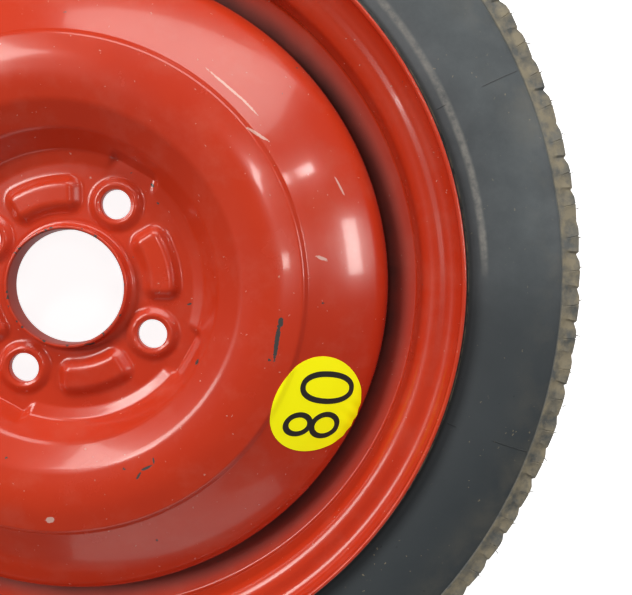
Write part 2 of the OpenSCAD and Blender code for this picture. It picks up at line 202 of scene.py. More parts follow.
class MeshBench:
    """Mesh work that every piece needs, done with Blender's own operators."""

    @staticmethod
    def alone(piece: bpy.types.Object) -> None:
        """Makes one piece the only selected and active one.

        Args:
            piece: The piece.
        """
        bpy.ops.object.select_all(action="DESELECT")
        piece.select_set(True)
        bpy.context.view_layer.objects.active = piece

    @staticmethod
    def drawn(name: str, outline: np.ndarray) -> bpy.types.Object:
        """Draws an outline as a loop of edges beside the wheel's axis.

        Args:
            name: The new piece's name.
            outline: Radius and height of the outline's points, in millimetres.

        Returns:
            The new piece.
        """
        bpy.ops.object.select_all(action="DESELECT")
        bpy.ops.mesh.primitive_circle_add(vertices=len(outline), radius=1.0, fill_type="NOTHING")
        piece = bpy.context.active_object
        piece.name = name
        piece.data.name = name
        places = np.zeros((len(outline), 3))
        places[:, 0] = outline[:, 0]
        places[:, 2] = outline[:, 1]
        MeshBench.move_to(piece, places)
        return piece

    @staticmethod
    def spun(name: str, outline: np.ndarray, steps: int, closed: bool = True) -> bpy.types.Object:
        """Turns an outline round the wheel's axis into a closed solid.

        Args:
            name: The new piece's name.
            outline: Radius and height of the outline's points, in millimetres.
            steps: How many steps make the full turn.
            closed: Whether the outline is a loop; an open one starts and ends on the axis.

        Returns:
            The new piece.
        """
        piece = MeshBench.drawn(name, outline)
        if not closed:
            bpy.ops.object.mode_set(mode="EDIT")
            bpy.ops.mesh.select_all(action="DESELECT")
            bpy.ops.object.mode_set(mode="OBJECT")
            last = len(outline) - 1
            for edge in piece.data.edges:
                edge.select = set(edge.vertices) == {0, last}
            bpy.ops.object.mode_set(mode="EDIT")
            bpy.ops.mesh.select_mode(type="EDGE")
            bpy.ops.mesh.delete(type="EDGE_FACE")
            bpy.ops.mesh.select_mode(type="VERT")
            bpy.ops.object.mode_set(mode="OBJECT")
        bpy.ops.object.modifier_add(type="SCREW")
        tool = piece.modifiers[-1]
        tool.axis = "Z"
        tool.angle = math.tau
        tool.screw_offset = 0.0
        tool.steps = steps
        tool.render_steps = steps
        tool.use_merge_vertices = True
        tool.merge_threshold = MERGE_DISTANCE
        bpy.ops.object.modifier_apply(modifier=tool.name)
        MeshBench.closed(piece)
        return piece

    @staticmethod
    def closed(piece: bpy.types.Object) -> None:
        """Merges points that meet and turns the faces outwards.

        Args:
            piece: The piece.
        """
        MeshBench.alone(piece)
        bpy.ops.object.mode_set(mode="EDIT")
        bpy.ops.mesh.select_all(action="SELECT")
        bpy.ops.mesh.remove_doubles(threshold=MERGE_DISTANCE)
        bpy.ops.mesh.select_all(action="SELECT")
        bpy.ops.mesh.normals_make_consistent(inside=False)
        bpy.ops.object.mode_set(mode="OBJECT")

    @staticmethod
    def swept(name: str, outline: np.ndarray, steps: int, turn: float) -> bpy.types.Object:
        """Sweeps an outline part of the way round the wheel's axis, its two ends still open.

        Args:
            name: The new piece's name.
            outline: Radius and height of the outline's points, in millimetres.
            steps: How many steps make the turn.
            turn: The turn in degrees.

        Returns:
            The new piece.
        """
        piece = MeshBench.drawn(name, outline)
        bpy.ops.object.mode_set(mode="EDIT")
        bpy.ops.mesh.select_all(action="SELECT")
        bpy.ops.mesh.spin(steps=steps, angle=math.radians(turn), center=(0, 0, 0), axis=(0, 0, 1))
        bpy.ops.object.mode_set(mode="OBJECT")
        return piece

    @staticmethod
    def places(piece: bpy.types.Object) -> np.ndarray:
        """Reads a piece's vertices.

        Args:
            piece: The piece.

        Returns:
            One row for each vertex, in millimetres.
        """
        flat = np.zeros(len(piece.data.vertices) * 3, np.float32)
        piece.data.vertices.foreach_get("co", flat)
        return flat.reshape(-1, 3).astype(float) / MM

    @staticmethod
    def move_to(piece: bpy.types.Object, places: np.ndarray) -> None:
        """Writes a piece's vertices, given in millimetres."""
        piece.data.vertices.foreach_set("co", (places * MM).astype(np.float32).ravel())
        piece.data.update()

    @staticmethod
    def cut(piece: bpy.types.Object, cutter: bpy.types.Object) -> None:
        """Takes a shape out of a piece.

        Args:
            piece: The piece to cut.
            cutter: The shape, which is removed afterwards.
        """
        MeshBench.alone(piece)
        tool = piece.modifiers.new("cut", "BOOLEAN")
        tool.operation = "DIFFERENCE"
        tool.solver = "MANIFOLD"
        tool.object = cutter
        bpy.ops.object.modifier_apply(modifier=tool.name)
        bpy.data.objects.remove(cutter)

    @staticmethod
    def smooth(piece: bpy.types.Object) -> None:
        """Shades a piece smoothly, apart from its sharp edges."""
        MeshBench.alone(piece)
        bpy.ops.object.shade_smooth_by_angle(angle=SMOOTH_ANGLE)

    @staticmethod
    def joined(pieces: Sequence[bpy.types.Object], name: str) -> bpy.types.Object:
        """Joins pieces into one object.

        Args:
            pieces: The pieces.
            name: The joined piece's name.

        Returns:
            The joined piece.
        """
        bpy.ops.object.select_all(action="DESELECT")
        for piece in pieces:
            piece.select_set(True)
        bpy.context.view_layer.objects.active = pieces[0]
        bpy.ops.object.join()
        whole = bpy.context.active_object
        whole.name = name
        whole.data.name = name
        return whole

    @staticmethod
    def applied(piece: bpy.types.Object, place: Matrix) -> bpy.types.Object:
        """Moves a piece's mesh and leaves its object at the origin.

        Args:
            piece: The piece.
            place: Where its mesh goes, in metres.

        Returns:
            The same piece.
        """
        piece.data.transform(place)
        piece.matrix_world = Matrix.Identity(4)
        piece.data.update()
        return piece

    @staticmethod
    def copied(piece: bpy.types.Object, place: Matrix) -> bpy.types.Object:
        """Copies a piece with a mesh of its own and moves the copy's mesh.

        Args:
            piece: The piece to copy, which stays as it is.
            place: Where the copy goes, in metres.

        Returns:
            The copy.
        """
        twin = piece.copy()
        twin.data = piece.data.copy()
        bpy.context.scene.collection.objects.link(twin)
        return MeshBench.applied(twin, place)


@dataclass(frozen=True)
class Band:
    """A soft step: where it starts and ends, and what it gives there."""

    low: float
    high: float
    at_low: float = 0.0
    at_high: float = 1.0


@dataclass(frozen=True)
class Clouds:
    """A soft patchy pattern, such as dust or wear has."""

    scale: float
    edge: float
    softness: float


@dataclass(frozen=True)
class Specks:
    """A pattern of small scattered specks."""

    scale: float
    size: float
    share: float


@dataclass(frozen=True)
class Noise:
    """A plain noise pattern."""

    scale: float
    detail: float = 3.0
    roughness: float = 0.55


@dataclass(frozen=True)
class Relief:
    """How strongly a height pattern marks a surface, and its depth in metres."""

    strength: float
    depth: float


@dataclass(frozen=True)
class PaintMark:
    """A scratch or scuff: its middle, its direction in degrees, its length and its width."""

    x: float
    y: float
    along: float
    length: float
    width: float


class Shader:
    """A node tree with short calls for the nodes that the finishes use."""

    # The Mix node has sockets for every kind of data, and these are the colour ones.
    MIX_FIRST, MIX_SECOND, MIX_RESULT = 6, 7, 2

    def __init__(self, tree: bpy.types.NodeTree) -> None:
        """Keeps the tree that the calls add to.

        Args:
            tree: The node tree of a material or a group.
        """
        self.tree = tree

    def node(self, kind: str, **settings: object) -> bpy.types.Node:
        """Adds a node and sets its properties.

        Args:
            kind: The node's type.
            **settings: The node's properties by name.

        Returns:
            The new node.
        """
        new = self.tree.nodes.new(kind)
        for key, value in settings.items():
            setattr(new, key, value)
        return new

    def link(self, source: Value, target: bpy.types.NodeSocket) -> None:
        """Joins two sockets, or sets the target's value where the source is a plain value.

        Args:
            source: A socket, a number or a colour.
            target: The socket that takes it.
        """
        if isinstance(source, bpy.types.NodeSocket):
            self.tree.links.new(source, target)
        else:
            target.default_value = source

    def maths(self, operation: str, a: Value, b: Value = 0.0, c: Value = 0.0) -> bpy.types.NodeSocket:
        """Adds a Math node.

        Args:
            operation: What the node works out.
            a: The first value.
            b: The second value.
            c: The third value.

        Returns:
            The result's socket.
        """
        new = self.node("ShaderNodeMath", operation=operation)
        for socket, value in zip(new.inputs, (a, b, c)):
            self.link(value, socket)
        return new.outputs[0]

    def product(self, a: Value, b: Value) -> bpy.types.NodeSocket:
        """Multiplies two values."""
        return self.maths("MULTIPLY", a, b)

    def added(self, base: Value, *shares: tuple[Value, float]) -> Value:
        """Adds masks to a value.

        Args:
            base: The value without the masks.
            *shares: Each mask with what it adds where it is full.

        Returns:
            The sum's socket.
        """
        for mask, amount in shares:
            base = self.maths("ADD", base, self.product(mask, amount))
        return base

    def band(self, value: Value, band: Band) -> bpy.types.NodeSocket:
        """Maps a value along a soft step.

        Args:
            value: The value to map.
            band: The step.

        Returns:
            The result's socket.
        """
        new = self.node("ShaderNodeMapRange", interpolation_type="SMOOTHSTEP")
        self.link(value, new.inputs["Value"])
        new.inputs["From Min"].default_value = band.low
        new.inputs["From Max"].default_value = band.high
        new.inputs["To Min"].default_value = band.at_low
        new.inputs["To Max"].default_value = band.at_high
        return new.outputs["Result"]

    def blend(self, amount: Value, a: Value, b: Value) -> bpy.types.NodeSocket:
        """Mixes two colours.

        Args:
            amount: The second colour's share.
            a: The first colour.
            b: The second colour.

        Returns:
            The mixed colour's socket.
        """
        new = self.node("ShaderNodeMix", data_type="RGBA")
        self.link(amount, new.inputs[0])
        self.link(a, new.inputs[self.MIX_FIRST])
        self.link(b, new.inputs[self.MIX_SECOND])
        return new.outputs[self.MIX_RESULT]

    def layered(self, tone: Value, *layers: tuple[Value, Colour]) -> Value:
        """Lays colours over a tone.

        Args:
            tone: The colour underneath.
            *layers: Each layer's mask and colour, from the lowest up.

        Returns:
            The final colour's socket.
        """
        for mask, colour in layers:
            tone = self.blend(mask, tone, colour)
        return tone

    def noise(self, place: Value, noise: Noise) -> bpy.types.NodeSocket:
        """Adds a noise pattern.

        Args:
            place: The coordinates that it reads.
            noise: The pattern's values.

        Returns:
            The pattern's socket.
        """
        new = self.node("ShaderNodeTexNoise")
        self.link(place, new.inputs["Vector"])
        new.inputs["Scale"].default_value = noise.scale
        new.inputs["Detail"].default_value = noise.detail
        new.inputs["Roughness"].default_value = noise.roughness
        return new.outputs["Fac"]

    def vector(self, operation: str, a: Value, b: Value = (0.0, 0.0, 0.0)) -> bpy.types.Node:
        """Adds a Vector Math node.

        Args:
            operation: What the node works out.
            a: The first vector.
            b: The second vector.

        Returns:
            The node.
        """
        new = self.node("ShaderNodeVectorMath", operation=operation)
        self.link(a, new.inputs[0])
        self.link(b, new.inputs[1])
        return new

    def parts(self, place: Value) -> bpy.types.Node:
        """Splits coordinates into X, Y and Z.

        Args:
            place: The coordinates.

        Returns:
            The node that has the three outputs.
        """
        new = self.node("ShaderNodeSeparateXYZ")
        self.link(place, new.inputs["Vector"])
        return new


class SharedPatterns:
    """Shader groups that more than one finish uses, each built once."""

    IN_MILLIMETRES = (1000.0, 1000.0, 0.0)
    SPECK_EDGE = Noise(900.0, 1.0)
    SPECK_EDGE_MIDDLE = (0.5, 0.5, 0.5)
    SPECK_EDGE_REACH = (0.0022, 0.0022, 0.0022)
    CLOUD_DETAIL = 6.0
    CLOUD_ROUGHNESS = 0.62

    @staticmethod
    def group(name: str, inputs: dict[str, float], output: str) -> GroupStart:
        """Starts a shader group.

        Args:
            name: The group's name.
            inputs: The group's values by name, beside its place input.
            output: The name of what the group gives.

        Returns:
            The group's tree, its shader calls, its input node and its output's socket.
        """
        tree = bpy.data.node_groups.new(name, "ShaderNodeTree")
        tree.interface.new_socket("Place", in_out="INPUT", socket_type="NodeSocketVector")
        for key, value in inputs.items():
            socket = tree.interface.new_socket(key, in_out="INPUT", socket_type="NodeSocketFloat")
            socket.default_value = value
        tree.interface.new_socket(output, in_out="OUTPUT", socket_type="NodeSocketFloat")
        shader = Shader(tree)
        start, end = shader.node("NodeGroupInput"), shader.node("NodeGroupOutput")
        return tree, shader, start, end.inputs[output]

    @classmethod
    def distance_from_axis(cls) -> bpy.types.NodeTree:
        """Builds the group that gives the distance from the wheel's axis in millimetres.

        Returns:
            The group.
        """
        name = "distance_from_axis"
        if name in bpy.data.node_groups:
            return bpy.data.node_groups[name]
        tree, shader, start, end = cls.group(name, {}, "Radius")
        level = shader.vector("MULTIPLY", start.outputs["Place"], cls.IN_MILLIMETRES)
        length = shader.vector("LENGTH", level.outputs["Vector"])
        shader.link(length.outputs["Value"], end)
        return tree

    @classmethod
    def specks(cls) -> bpy.types.NodeTree:
        """Builds the group that gives a mask of small scattered specks with ragged edges.

        Returns:
            The group.
        """
        name = "specks"
        if name in bpy.data.node_groups:
            return bpy.data.node_groups[name]
        tree, shader, start, end = cls.group(name, {"Scale": 300.0, "Size": 0.1, "Share": 0.5}, "Mask")
        wander = shader.node("ShaderNodeTexNoise")
        wander.inputs["Scale"].default_value = cls.SPECK_EDGE.scale
        wander.inputs["Detail"].default_value = cls.SPECK_EDGE.detail
        shader.link(start.outputs["Place"], wander.inputs["Vector"])
        pushed = shader.vector("SUBTRACT", wander.outputs["Color"], cls.SPECK_EDGE_MIDDLE)
        pushed = shader.vector("MULTIPLY", pushed.outputs["Vector"], cls.SPECK_EDGE_REACH)
        ragged = shader.vector("ADD", start.outputs["Place"], pushed.outputs["Vector"])
        cells = shader.node("ShaderNodeTexVoronoi", feature="F1")
        shader.link(ragged.outputs["Vector"], cells.inputs["Vector"])
        shader.link(start.outputs["Scale"], cells.inputs["Scale"])
        inside = shader.maths("LESS_THAN", cells.outputs["Distance"], start.outputs["Size"])
        parts = shader.node("ShaderNodeSeparateColor")
        shader.link(cells.outputs["Color"], parts.inputs["Color"])
        chosen = shader.maths("LESS_THAN", parts.outputs["Red"], start.outputs["Share"])
        shader.link(shader.product(inside, chosen), end)
        return tree

    @classmethod
    def clouds(cls) -> bpy.types.NodeTree:
        """Builds the group that gives a soft patchy mask.

        Returns:
            The group.
        """
        name = "clouds"
        if name in bpy.data.node_groups:
            return bpy.data.node_groups[name]
        tree, shader, start, end = cls.group(name, {"Scale": 20.0, "Edge": 0.5, "Softness": 0.1}, "Mask")
        noise = shader.node("ShaderNodeTexNoise")
        noise.inputs["Detail"].default_value = cls.CLOUD_DETAIL
        noise.inputs["Roughness"].default_value = cls.CLOUD_ROUGHNESS
        shader.link(start.outputs["Place"], noise.inputs["Vector"])
        shader.link(start.outputs["Scale"], noise.inputs["Scale"])
        low = shader.maths("SUBTRACT", start.outputs["Edge"], start.outputs["Softness"])
        high = shader.maths("ADD", start.outputs["Edge"], start.outputs["Softness"])
        span = shader.maths("SUBTRACT", high, low)
        above = shader.maths("SUBTRACT", noise.outputs["Fac"], low)
        share = shader.node("ShaderNodeMath", operation="DIVIDE", use_clamp=True)
        shader.link(above, share.inputs[0])
        shader.link(span, share.inputs[1])
        shader.link(share.outputs[0], end)
        return tree


class Finish:
    """A material in the making: its shader node, its place socket and the shared groups."""

    MARK_EDGE = Noise(900.0, 4.0)
    MARK_EDGE_REACH = 1.1
    MARK_STEP = Band(0.85, 1.0, 1.0, 0.0)

    def __init__(self, slot: Slot, name: str) -> None:
        """Starts a material with one Principled shader and Object coordinates.

        Args:
            slot: The slot that the material is for.
            name: The material's name.
        """
        self.slot = slot
        self.material = bpy.data.materials.new(name)
        self.material.use_nodes = True
        self.shader = Shader(self.material.node_tree)
        self.body = self.material.node_tree.nodes["Principled BSDF"]
        self.place = self.shader.node("ShaderNodeTexCoord").outputs["Object"]

    def group(self, tree: bpy.types.NodeTree, **values: Value) -> bpy.types.Node:
        """Places a shared group on the piece's own coordinates.

        Args:
            tree: The group.
            **values: The group's values by name.

        Returns:
            The group's node.
        """
        new = self.shader.node("ShaderNodeGroup", node_tree=tree)
        self.shader.link(self.place, new.inputs["Place"])
        for key, value in values.items():
            self.shader.link(value, new.inputs[key])
        return new

    def radius(self) -> bpy.types.NodeSocket:
        """Gives the distance from the wheel's axis in millimetres."""
        return self.group(SharedPatterns.distance_from_axis()).outputs["Radius"]

    def height(self) -> bpy.types.NodeSocket:
        """Gives the place along the wheel's axis in metres."""
        return self.shader.parts(self.place).outputs["Z"]

    def clouds(self, clouds: Clouds) -> bpy.types.NodeSocket:
        """Gives a patchy mask."""
        values = {"Scale": clouds.scale, "Edge": clouds.edge, "Softness": clouds.softness}
        return self.group(SharedPatterns.clouds(), **values).outputs["Mask"]

    def specks(self, specks: Specks) -> bpy.types.NodeSocket:
        """Gives a mask of specks."""
        node = self.group(SharedPatterns.specks(), Scale=specks.scale, Size=specks.size, Share=specks.share)
        return node.outputs["Mask"]

    def turned(self, turn: float) -> bpy.types.Node:
        """Gives the place as seen along a direction across the wheel.

        Args:
            turn: The direction in degrees.

        Returns:
            The node whose X runs along the direction and whose Y runs across it.
        """
        mapping = self.shader.node("ShaderNodeMapping", vector_type="TEXTURE")
        self.shader.link(self.place, mapping.inputs["Vector"])
        mapping.inputs["Rotation"].default_value = (0.0, 0.0, math.radians(turn))
        return self.shader.parts(mapping.outputs["Vector"])

    def near(self, mark: PaintMark) -> bpy.types.NodeSocket:
        """Gives a mask of one scratch or scuff on the outboard face.

        Args:
            mark: The scratch or scuff.

        Returns:
            The mask's socket.
        """
        mapping = self.shader.node("ShaderNodeMapping", vector_type="TEXTURE")
        self.shader.link(self.place, mapping.inputs["Vector"])
        mapping.inputs["Location"].default_value = (mark.x * MM, mark.y * MM, 0.0)
        mapping.inputs["Rotation"].default_value = (0.0, 0.0, math.radians(mark.along))
        mapping.inputs["Scale"].default_value = (mark.length * MM / 2, mark.width * MM / 2, 1.0)
        noise = self.shader.noise(self.place, self.MARK_EDGE)
        ragged = self.shader.maths("MULTIPLY_ADD", noise, self.MARK_EDGE_REACH, -self.MARK_EDGE_REACH / 2)
        level = self.shader.vector("MULTIPLY", mapping.outputs["Vector"], (1.0, 1.0, 0.0))
        far = self.shader.vector("LENGTH", level.outputs["Vector"]).outputs["Value"]
        return self.shader.band(self.shader.maths("ADD", far, ragged), self.MARK_STEP)

    def roughen(self, height: Value, relief: Relief) -> None:
        """Marks the surface with a height pattern.

        Args:
            height: The pattern.
            relief: How strongly and how deeply it marks the surface.
        """
        bump = self.shader.node("ShaderNodeBump")
        bump.inputs["Strength"].default_value = relief.strength
        bump.inputs["Distance"].default_value = relief.depth
        self.shader.link(height, bump.inputs["Height"])
        self.shader.link(bump.outputs["Normal"], self.body.inputs["Normal"])

    def dress(self, piece: bpy.types.Object) -> None:
        """Gives the material to a piece."""
        piece.data.materials.clear()
        piece.data.materials.append(self.material)


@dataclass(frozen=True)
class WheelPaint:
    """Glossy orange-red stoving paint over pressed steel, chipped and a little dusty, with painted shade in
    the gap between disc and rim, and grime with painted shade inside the centre bore.

    Radii and marks are in millimetres, and heights along the axis are in metres.
    """

    colour: Colour = (0.60, 0.046, 0.013, 1.0)
    deep_colour: Colour = (0.52, 0.034, 0.011, 1.0)
    colour_patches: Clouds = Clouds(9.0, 0.5, 0.25)
    steel: Colour = (0.05, 0.045, 0.042, 1.0)
    rubbed: Colour = (0.75, 0.55, 0.48, 1.0)
    rubbed_share: float = 0.7
    dust: Colour = (0.62, 0.36, 0.28, 1.0)
    dust_patches: Clouds = Clouds(45.0, 0.62, 0.12)
    dust_share: float = 0.07
    grit: Specks = Specks(420.0, 0.16, 0.05)
    grit_share: float = 0.55
    small_chips: Specks = Specks(150.0, 0.10, 0.025)
    lip_radius: float = 31.0
    lip_reach: Band = Band(0.7, 1.2, 1.0, 0.0)
    lip_heights: Band = Band(0.0096, 0.0101)
    lip_chips: Specks = Specks(430.0, 0.38, 0.24)
    # Near-black red, painted as shade deep in the disc-to-rim gap and as grime with shade in the bore.
    shade_and_grime: Colour = (0.07, 0.011, 0.008, 1.0)
    gap_heights: Band = Band(-0.012, -0.007, 1.0, 0.0)
    gap_inner: Band = Band(167.0, 170.0)
    gap_outer: Band = Band(173.0, 188.0, 0.92, 0.0)
    gap_patches: Clouds = Clouds(40.0, 0.5, 0.3)
    gap_patch_share: float = 0.3
    gap_least: float = 0.85
    # The bore's wall is darkened with grime and painted shade.
    bore: Band = Band(30.3, 30.9, 0.7, 0.0)
    bore_share: float = 0.6
    roughness: float = 0.20
    roughness_patches: Clouds = Clouds(30.0, 0.5, 0.3)
    patch_roughness: float = 0.10
    chip_roughness: float = 0.35
    grit_roughness: float = 0.4
    shade_and_grime_roughness: float = 0.45
    specular: float = 0.42
    coat: float = 0.28
    coat_roughness: float = 0.07
    peel: Noise = Noise(260.0, 2.0, 0.4)
    peel_height: float = 0.16
    waves: Noise = Noise(38.0, 1.0, 0.3)
    wave_height: float = 1.6
    chip_height: float = -1.2
    grit_height: float = 0.8
    relief: Relief = Relief(0.35, 0.00012)
    scratches: tuple[PaintMark, ...] = (
        PaintMark(110.6, -26.0, 82.0, 21.0, 2.4),
        PaintMark(112.6, -16.5, 82.0, 5.0, 3.0),
        PaintMark(45.0, -90.0, 25.0, 6.0, 1.5),
        PaintMark(41.0, -94.0, 60.0, 4.5, 1.2),
        PaintMark(48.5, -86.5, 100.0, 3.2, 1.0),
        PaintMark(68.7, -38.4, 60.0, 3.4, 1.6),
        PaintMark(62.8, -9.4, 20.0, 2.8, 1.2),
        PaintMark(44.2, 53.3, 130.0, 3.0, 1.4),
        PaintMark(10.5, -30.3, 15.0, 4.4, 1.6),
        PaintMark(42.8, -26.4, 50.0, 4.6, 1.4),
    )
    scuffs: tuple[PaintMark, ...] = (
        PaintMark(87.0, 99.0, 140.0, 30.0, 1.3),
        PaintMark(96.0, 91.0, 135.0, 16.0, 1.0),
        PaintMark(101.0, 76.0, 150.0, 14.0, 1.6),
        PaintMark(142.5, 52.0, 118.0, 12.0, 1.1),
        PaintMark(133.0, 15.0, 160.0, 7.0, 1.8),
        PaintMark(-4.2, -116.8, 10.0, 5.0, 3.4),
    )

    def chips(self, finish: Finish) -> Value:
        """Gives the places where bare steel shows: scratches, small chips and the collar's worn lip.

        Args:
            finish: The finish being made.

        Returns:
            The mask's socket.
        """
        shader = finish.shader
        chips = finish.specks(self.small_chips)
        for mark in self.scratches:
            chips = shader.maths("MAXIMUM", chips, finish.near(mark))
        off = shader.maths("ABSOLUTE", shader.maths("SUBTRACT", finish.radius(), self.lip_radius))
        lip = shader.product(shader.band(off, self.lip_reach), shader.band(finish.height(), self.lip_heights))
        lip = shader.product(lip, finish.specks(self.lip_chips))
        return shader.maths("MAXIMUM", chips, lip)

    def worn(self, finish: Finish) -> Value:
        """Gives the places where the paint is rubbed pale.

        Args:
            finish: The finish being made.

        Returns:
            The mask's socket.
        """
        worn: Value = 0.0
        for mark in self.scuffs:
            worn = finish.shader.maths("MAXIMUM", worn, finish.near(mark))
        return worn

    def gap_shade(self, finish: Finish) -> Value:
        """Gives the painted shade deep in the gap between the disc and the rim, in uneven patches.

        Args:
            finish: The finish being made.

        Returns:
            The mask's socket.
        """
        shader = finish.shader
        radius = finish.radius()
        ring = shader.product(shader.band(radius, self.gap_outer), shader.band(radius, self.gap_inner))
        ring = shader.product(ring, shader.band(finish.height(), self.gap_heights))
        patches = finish.clouds(self.gap_patches)
        uneven = shader.maths("MULTIPLY_ADD", patches, self.gap_patch_share, self.gap_least)
        return shader.product(ring, uneven)

    def made(self) -> Finish:
        """Builds the paint's material.

        Returns:
            The finish.
        """
        finish = Finish(Slot.PAINT, "wheel_paint")
        shader = finish.shader
        grit = shader.product(finish.specks(self.grit), self.grit_share)
        chips = self.chips(finish)
        # The gap's darkening is painted shade between disc and rim.
        gap_shade = self.gap_shade(finish)
        # The bore mask darkens the bore's wall: grime with painted shade.
        bore = shader.band(finish.radius(), self.bore)
        shade_and_grime = shader.maths("MAXIMUM", gap_shade, bore)
        tone = shader.layered(
            self.colour,
            (finish.clouds(self.colour_patches), self.deep_colour),
            (shader.product(finish.clouds(self.dust_patches), self.dust_share), self.dust),
            (grit, self.dust),
            (gap_shade, self.shade_and_grime),
            (shader.product(bore, self.bore_share), self.shade_and_grime),
            (shader.product(self.worn(finish), self.rubbed_share), self.rubbed),
            (chips, self.steel),
        )
        shader.link(tone, finish.body.inputs["Base Color"])
        patches = finish.clouds(self.roughness_patches)
        rough = shader.maths("MULTIPLY_ADD", patches, self.patch_roughness, self.roughness)
        rough = shader.added(
            rough, (chips, self.chip_roughness), (grit, self.grit_roughness), (shade_and_grime, self.shade_and_grime_roughness),
        )
        shader.link(rough, finish.body.inputs["Roughness"])
        outside_shade_and_grime = shader.maths("SUBTRACT", 1.0, shade_and_grime)
        shader.link(shader.product(outside_shade_and_grime, self.coat), finish.body.inputs["Coat Weight"])
        finish.body.inputs["Specular IOR Level"].default_value = self.specular
        finish.body.inputs["Coat Roughness"].default_value = self.coat_roughness
        peel = shader.product(shader.noise(finish.place, self.peel), self.peel_height)
        height = shader.maths("MULTIPLY_ADD", shader.noise(finish.place, self.waves), self.wave_height, peel)
        height = shader.added(height, (chips, self.chip_height), (grit, self.grit_height))
        finish.roughen(height, self.relief)
        return finish


@dataclass(frozen=True)
class TyreRubber:
    """Bluish dark grey rubber with tan dust on the shoulder, a chalky scuff, a sidewall darker over one broad
    sector, and painted shade along the bead by the rim.

    Radii are in millimetres and turns in degrees.
    """

    colour: Colour = (0.116, 0.134, 0.144, 1.0)
    dark: Colour = (0.034, 0.042, 0.047, 1.0)
    colour_patches: Clouds = Clouds(16.0, 0.5, 0.26)
    # The sidewall is darker over one broad sector, less so towards the shoulder.
    darker_sector_turn: float = -72.0
    darker_sector_half_turn: float = 82.0
    darker_sector_radii: Band = Band(259.0, 261.0, 0.85, 0.2)
    dust: Colour = (0.33, 0.28, 0.18, 1.0)
    shoulder_start: Band = Band(259.6, 261.0)
    shoulder_end: Band = Band(270.2, 271.2, 1.0, 0.3)
    shoulder_patches: Clouds = Clouds(120.0, 0.48, 0.12)
    shoulder_patch_share: float = 0.58
    shoulder_least: float = 0.10
    wall_dust: Band = Band(234.0, 260.0)
    wall_patches: Clouds = Clouds(30.0, 0.53, 0.10)
    wall_share: float = 0.13
    grit: Specks = Specks(520.0, 0.22, 0.06)
    grit_share: float = 0.55
    grit_patches: Clouds = Clouds(24.0, 0.52, 0.06)
    grit_least: float = 0.15
    # Near-black for pits and mould lines, and for the painted shade along the bead by the rim.
    soot_and_shade: Colour = (0.008, 0.009, 0.009, 1.0)
    pits: Specks = Specks(260.0, 0.16, 0.05)
    pit_share: float = 0.8
    pit_patches: Clouds = Clouds(20.0, 0.54, 0.05)
    chalk: Colour = (0.30, 0.30, 0.27, 1.0)
    scuff_radius: float = 218.6
    scuff_turn: float = 24.0
    scuff_half_turn: float = 24.0
    scuff_reach: Band = Band(0.6, 2.6, 1.0, 0.0)
    scuff_patches: Clouds = Clouds(260.0, 0.42, 0.22)
    scuff_share: float = 0.6
    mould_lines: tuple[float, ...] = (-20.0, 25.5, 152.0, 205.0)
    mould_line_edge: Band = Band(0.0001, 0.0005, 1.0, 0.0)
    mould_line_radii: tuple[tuple[Band, Band], ...] = (
        (Band(237.0, 239.0), Band(258.0, 260.0, 1.0, 0.0)),
        (Band(213.0, 213.6), Band(217.0, 219.0, 1.0, 0.0)),
    )
    mould_line_share: float = 0.55
    # Painted shade on the rubber next to the rim's flange.
    bead_shade: Band = Band(211.4, 213.6, 1.0, 0.0)
    bead_shade_share: float = 0.88
    rust_radius: float = 210.4
    rust_reach: Band = Band(0.15, 0.5, 1.0, 0.0)
    rust_patches: Clouds = Clouds(120.0, 0.5, 0.1)
    rust_share: float = 0.35
    roughness: float = 0.52
    roughness_patches: Clouds = Clouds(60.0, 0.5, 0.25)
    patch_roughness: float = 0.12
    dust_roughness: float = 0.2
    specular: float = 0.38
    grain: Noise = Noise(700.0, 4.0, 0.6)
    grain_height: float = 0.4
    pit_height: float = -0.6
    line_height: float = 1.2
    relief: Relief = Relief(0.5, 0.0002)

    def arc_share(self, finish: Finish, middle: float, half: float) -> bpy.types.NodeSocket:
        """Gives a mask of one sector of the wheel, soft at its two ends.

        Args:
            finish: The finish being made.
            middle: The sector's middle, in degrees.
            half: Half the sector's turn, in degrees.

        Returns:
            The mask's socket.
        """
        shader = finish.shader
        parts = finish.turned(middle)
        off = shader.maths("ABSOLUTE", shader.maths("ARCTAN2", parts.outputs["Y"], parts.outputs["X"]))
        return shader.band(off, Band(math.radians(half * 0.75), math.radians(half), 1.0, 0.0))

    def film(self, finish: Finish) -> Value:
        """Gives the film of dust on the shoulder and, thinner, on the sidewall.

        Args:
            finish: The finish being made.

        Returns:
            The mask's socket.
        """
        shader = finish.shader
        radius = finish.radius()
        start, end = shader.band(radius, self.shoulder_start), shader.band(radius, self.shoulder_end)
        shoulder = shader.product(start, end)
        patches = shader.product(shoulder, finish.clouds(self.shoulder_patches))
        film = shader.product(patches, self.shoulder_patch_share)
        film = shader.maths("ADD", film, shader.product(shoulder, self.shoulder_least))
        below = shader.product(shader.band(radius, self.wall_dust), finish.clouds(self.wall_patches))
        return shader.maths("MAXIMUM", film, shader.product(below, self.wall_share))

    def scuff(self, finish: Finish) -> Value:
        """Gives the chalky scuff on the sidewall.

        Args:
            finish: The finish being made.

        Returns:
            The mask's socket.
        """
        shader = finish.shader
        off = shader.maths("ABSOLUTE", shader.maths("SUBTRACT", finish.radius(), self.scuff_radius))
        rubbed = shader.product(shader.band(off, self.scuff_reach), finish.clouds(self.scuff_patches))
        rubbed = shader.product(rubbed, self.arc_share(finish, self.scuff_turn, self.scuff_half_turn))
        return shader.product(rubbed, self.scuff_share)

    def rust(self, finish: Finish) -> Value:
        """Gives the brown line that the rim's flange left on the rubber beside it.

        Args:
            finish: The finish being made.

        Returns:
            The mask's socket.
        """
        shader = finish.shader
        off = shader.maths("ABSOLUTE", shader.maths("SUBTRACT", finish.radius(), self.rust_radius))
        brown = shader.product(shader.band(off, self.rust_reach), finish.clouds(self.rust_patches))
        return shader.product(brown, self.rust_share)

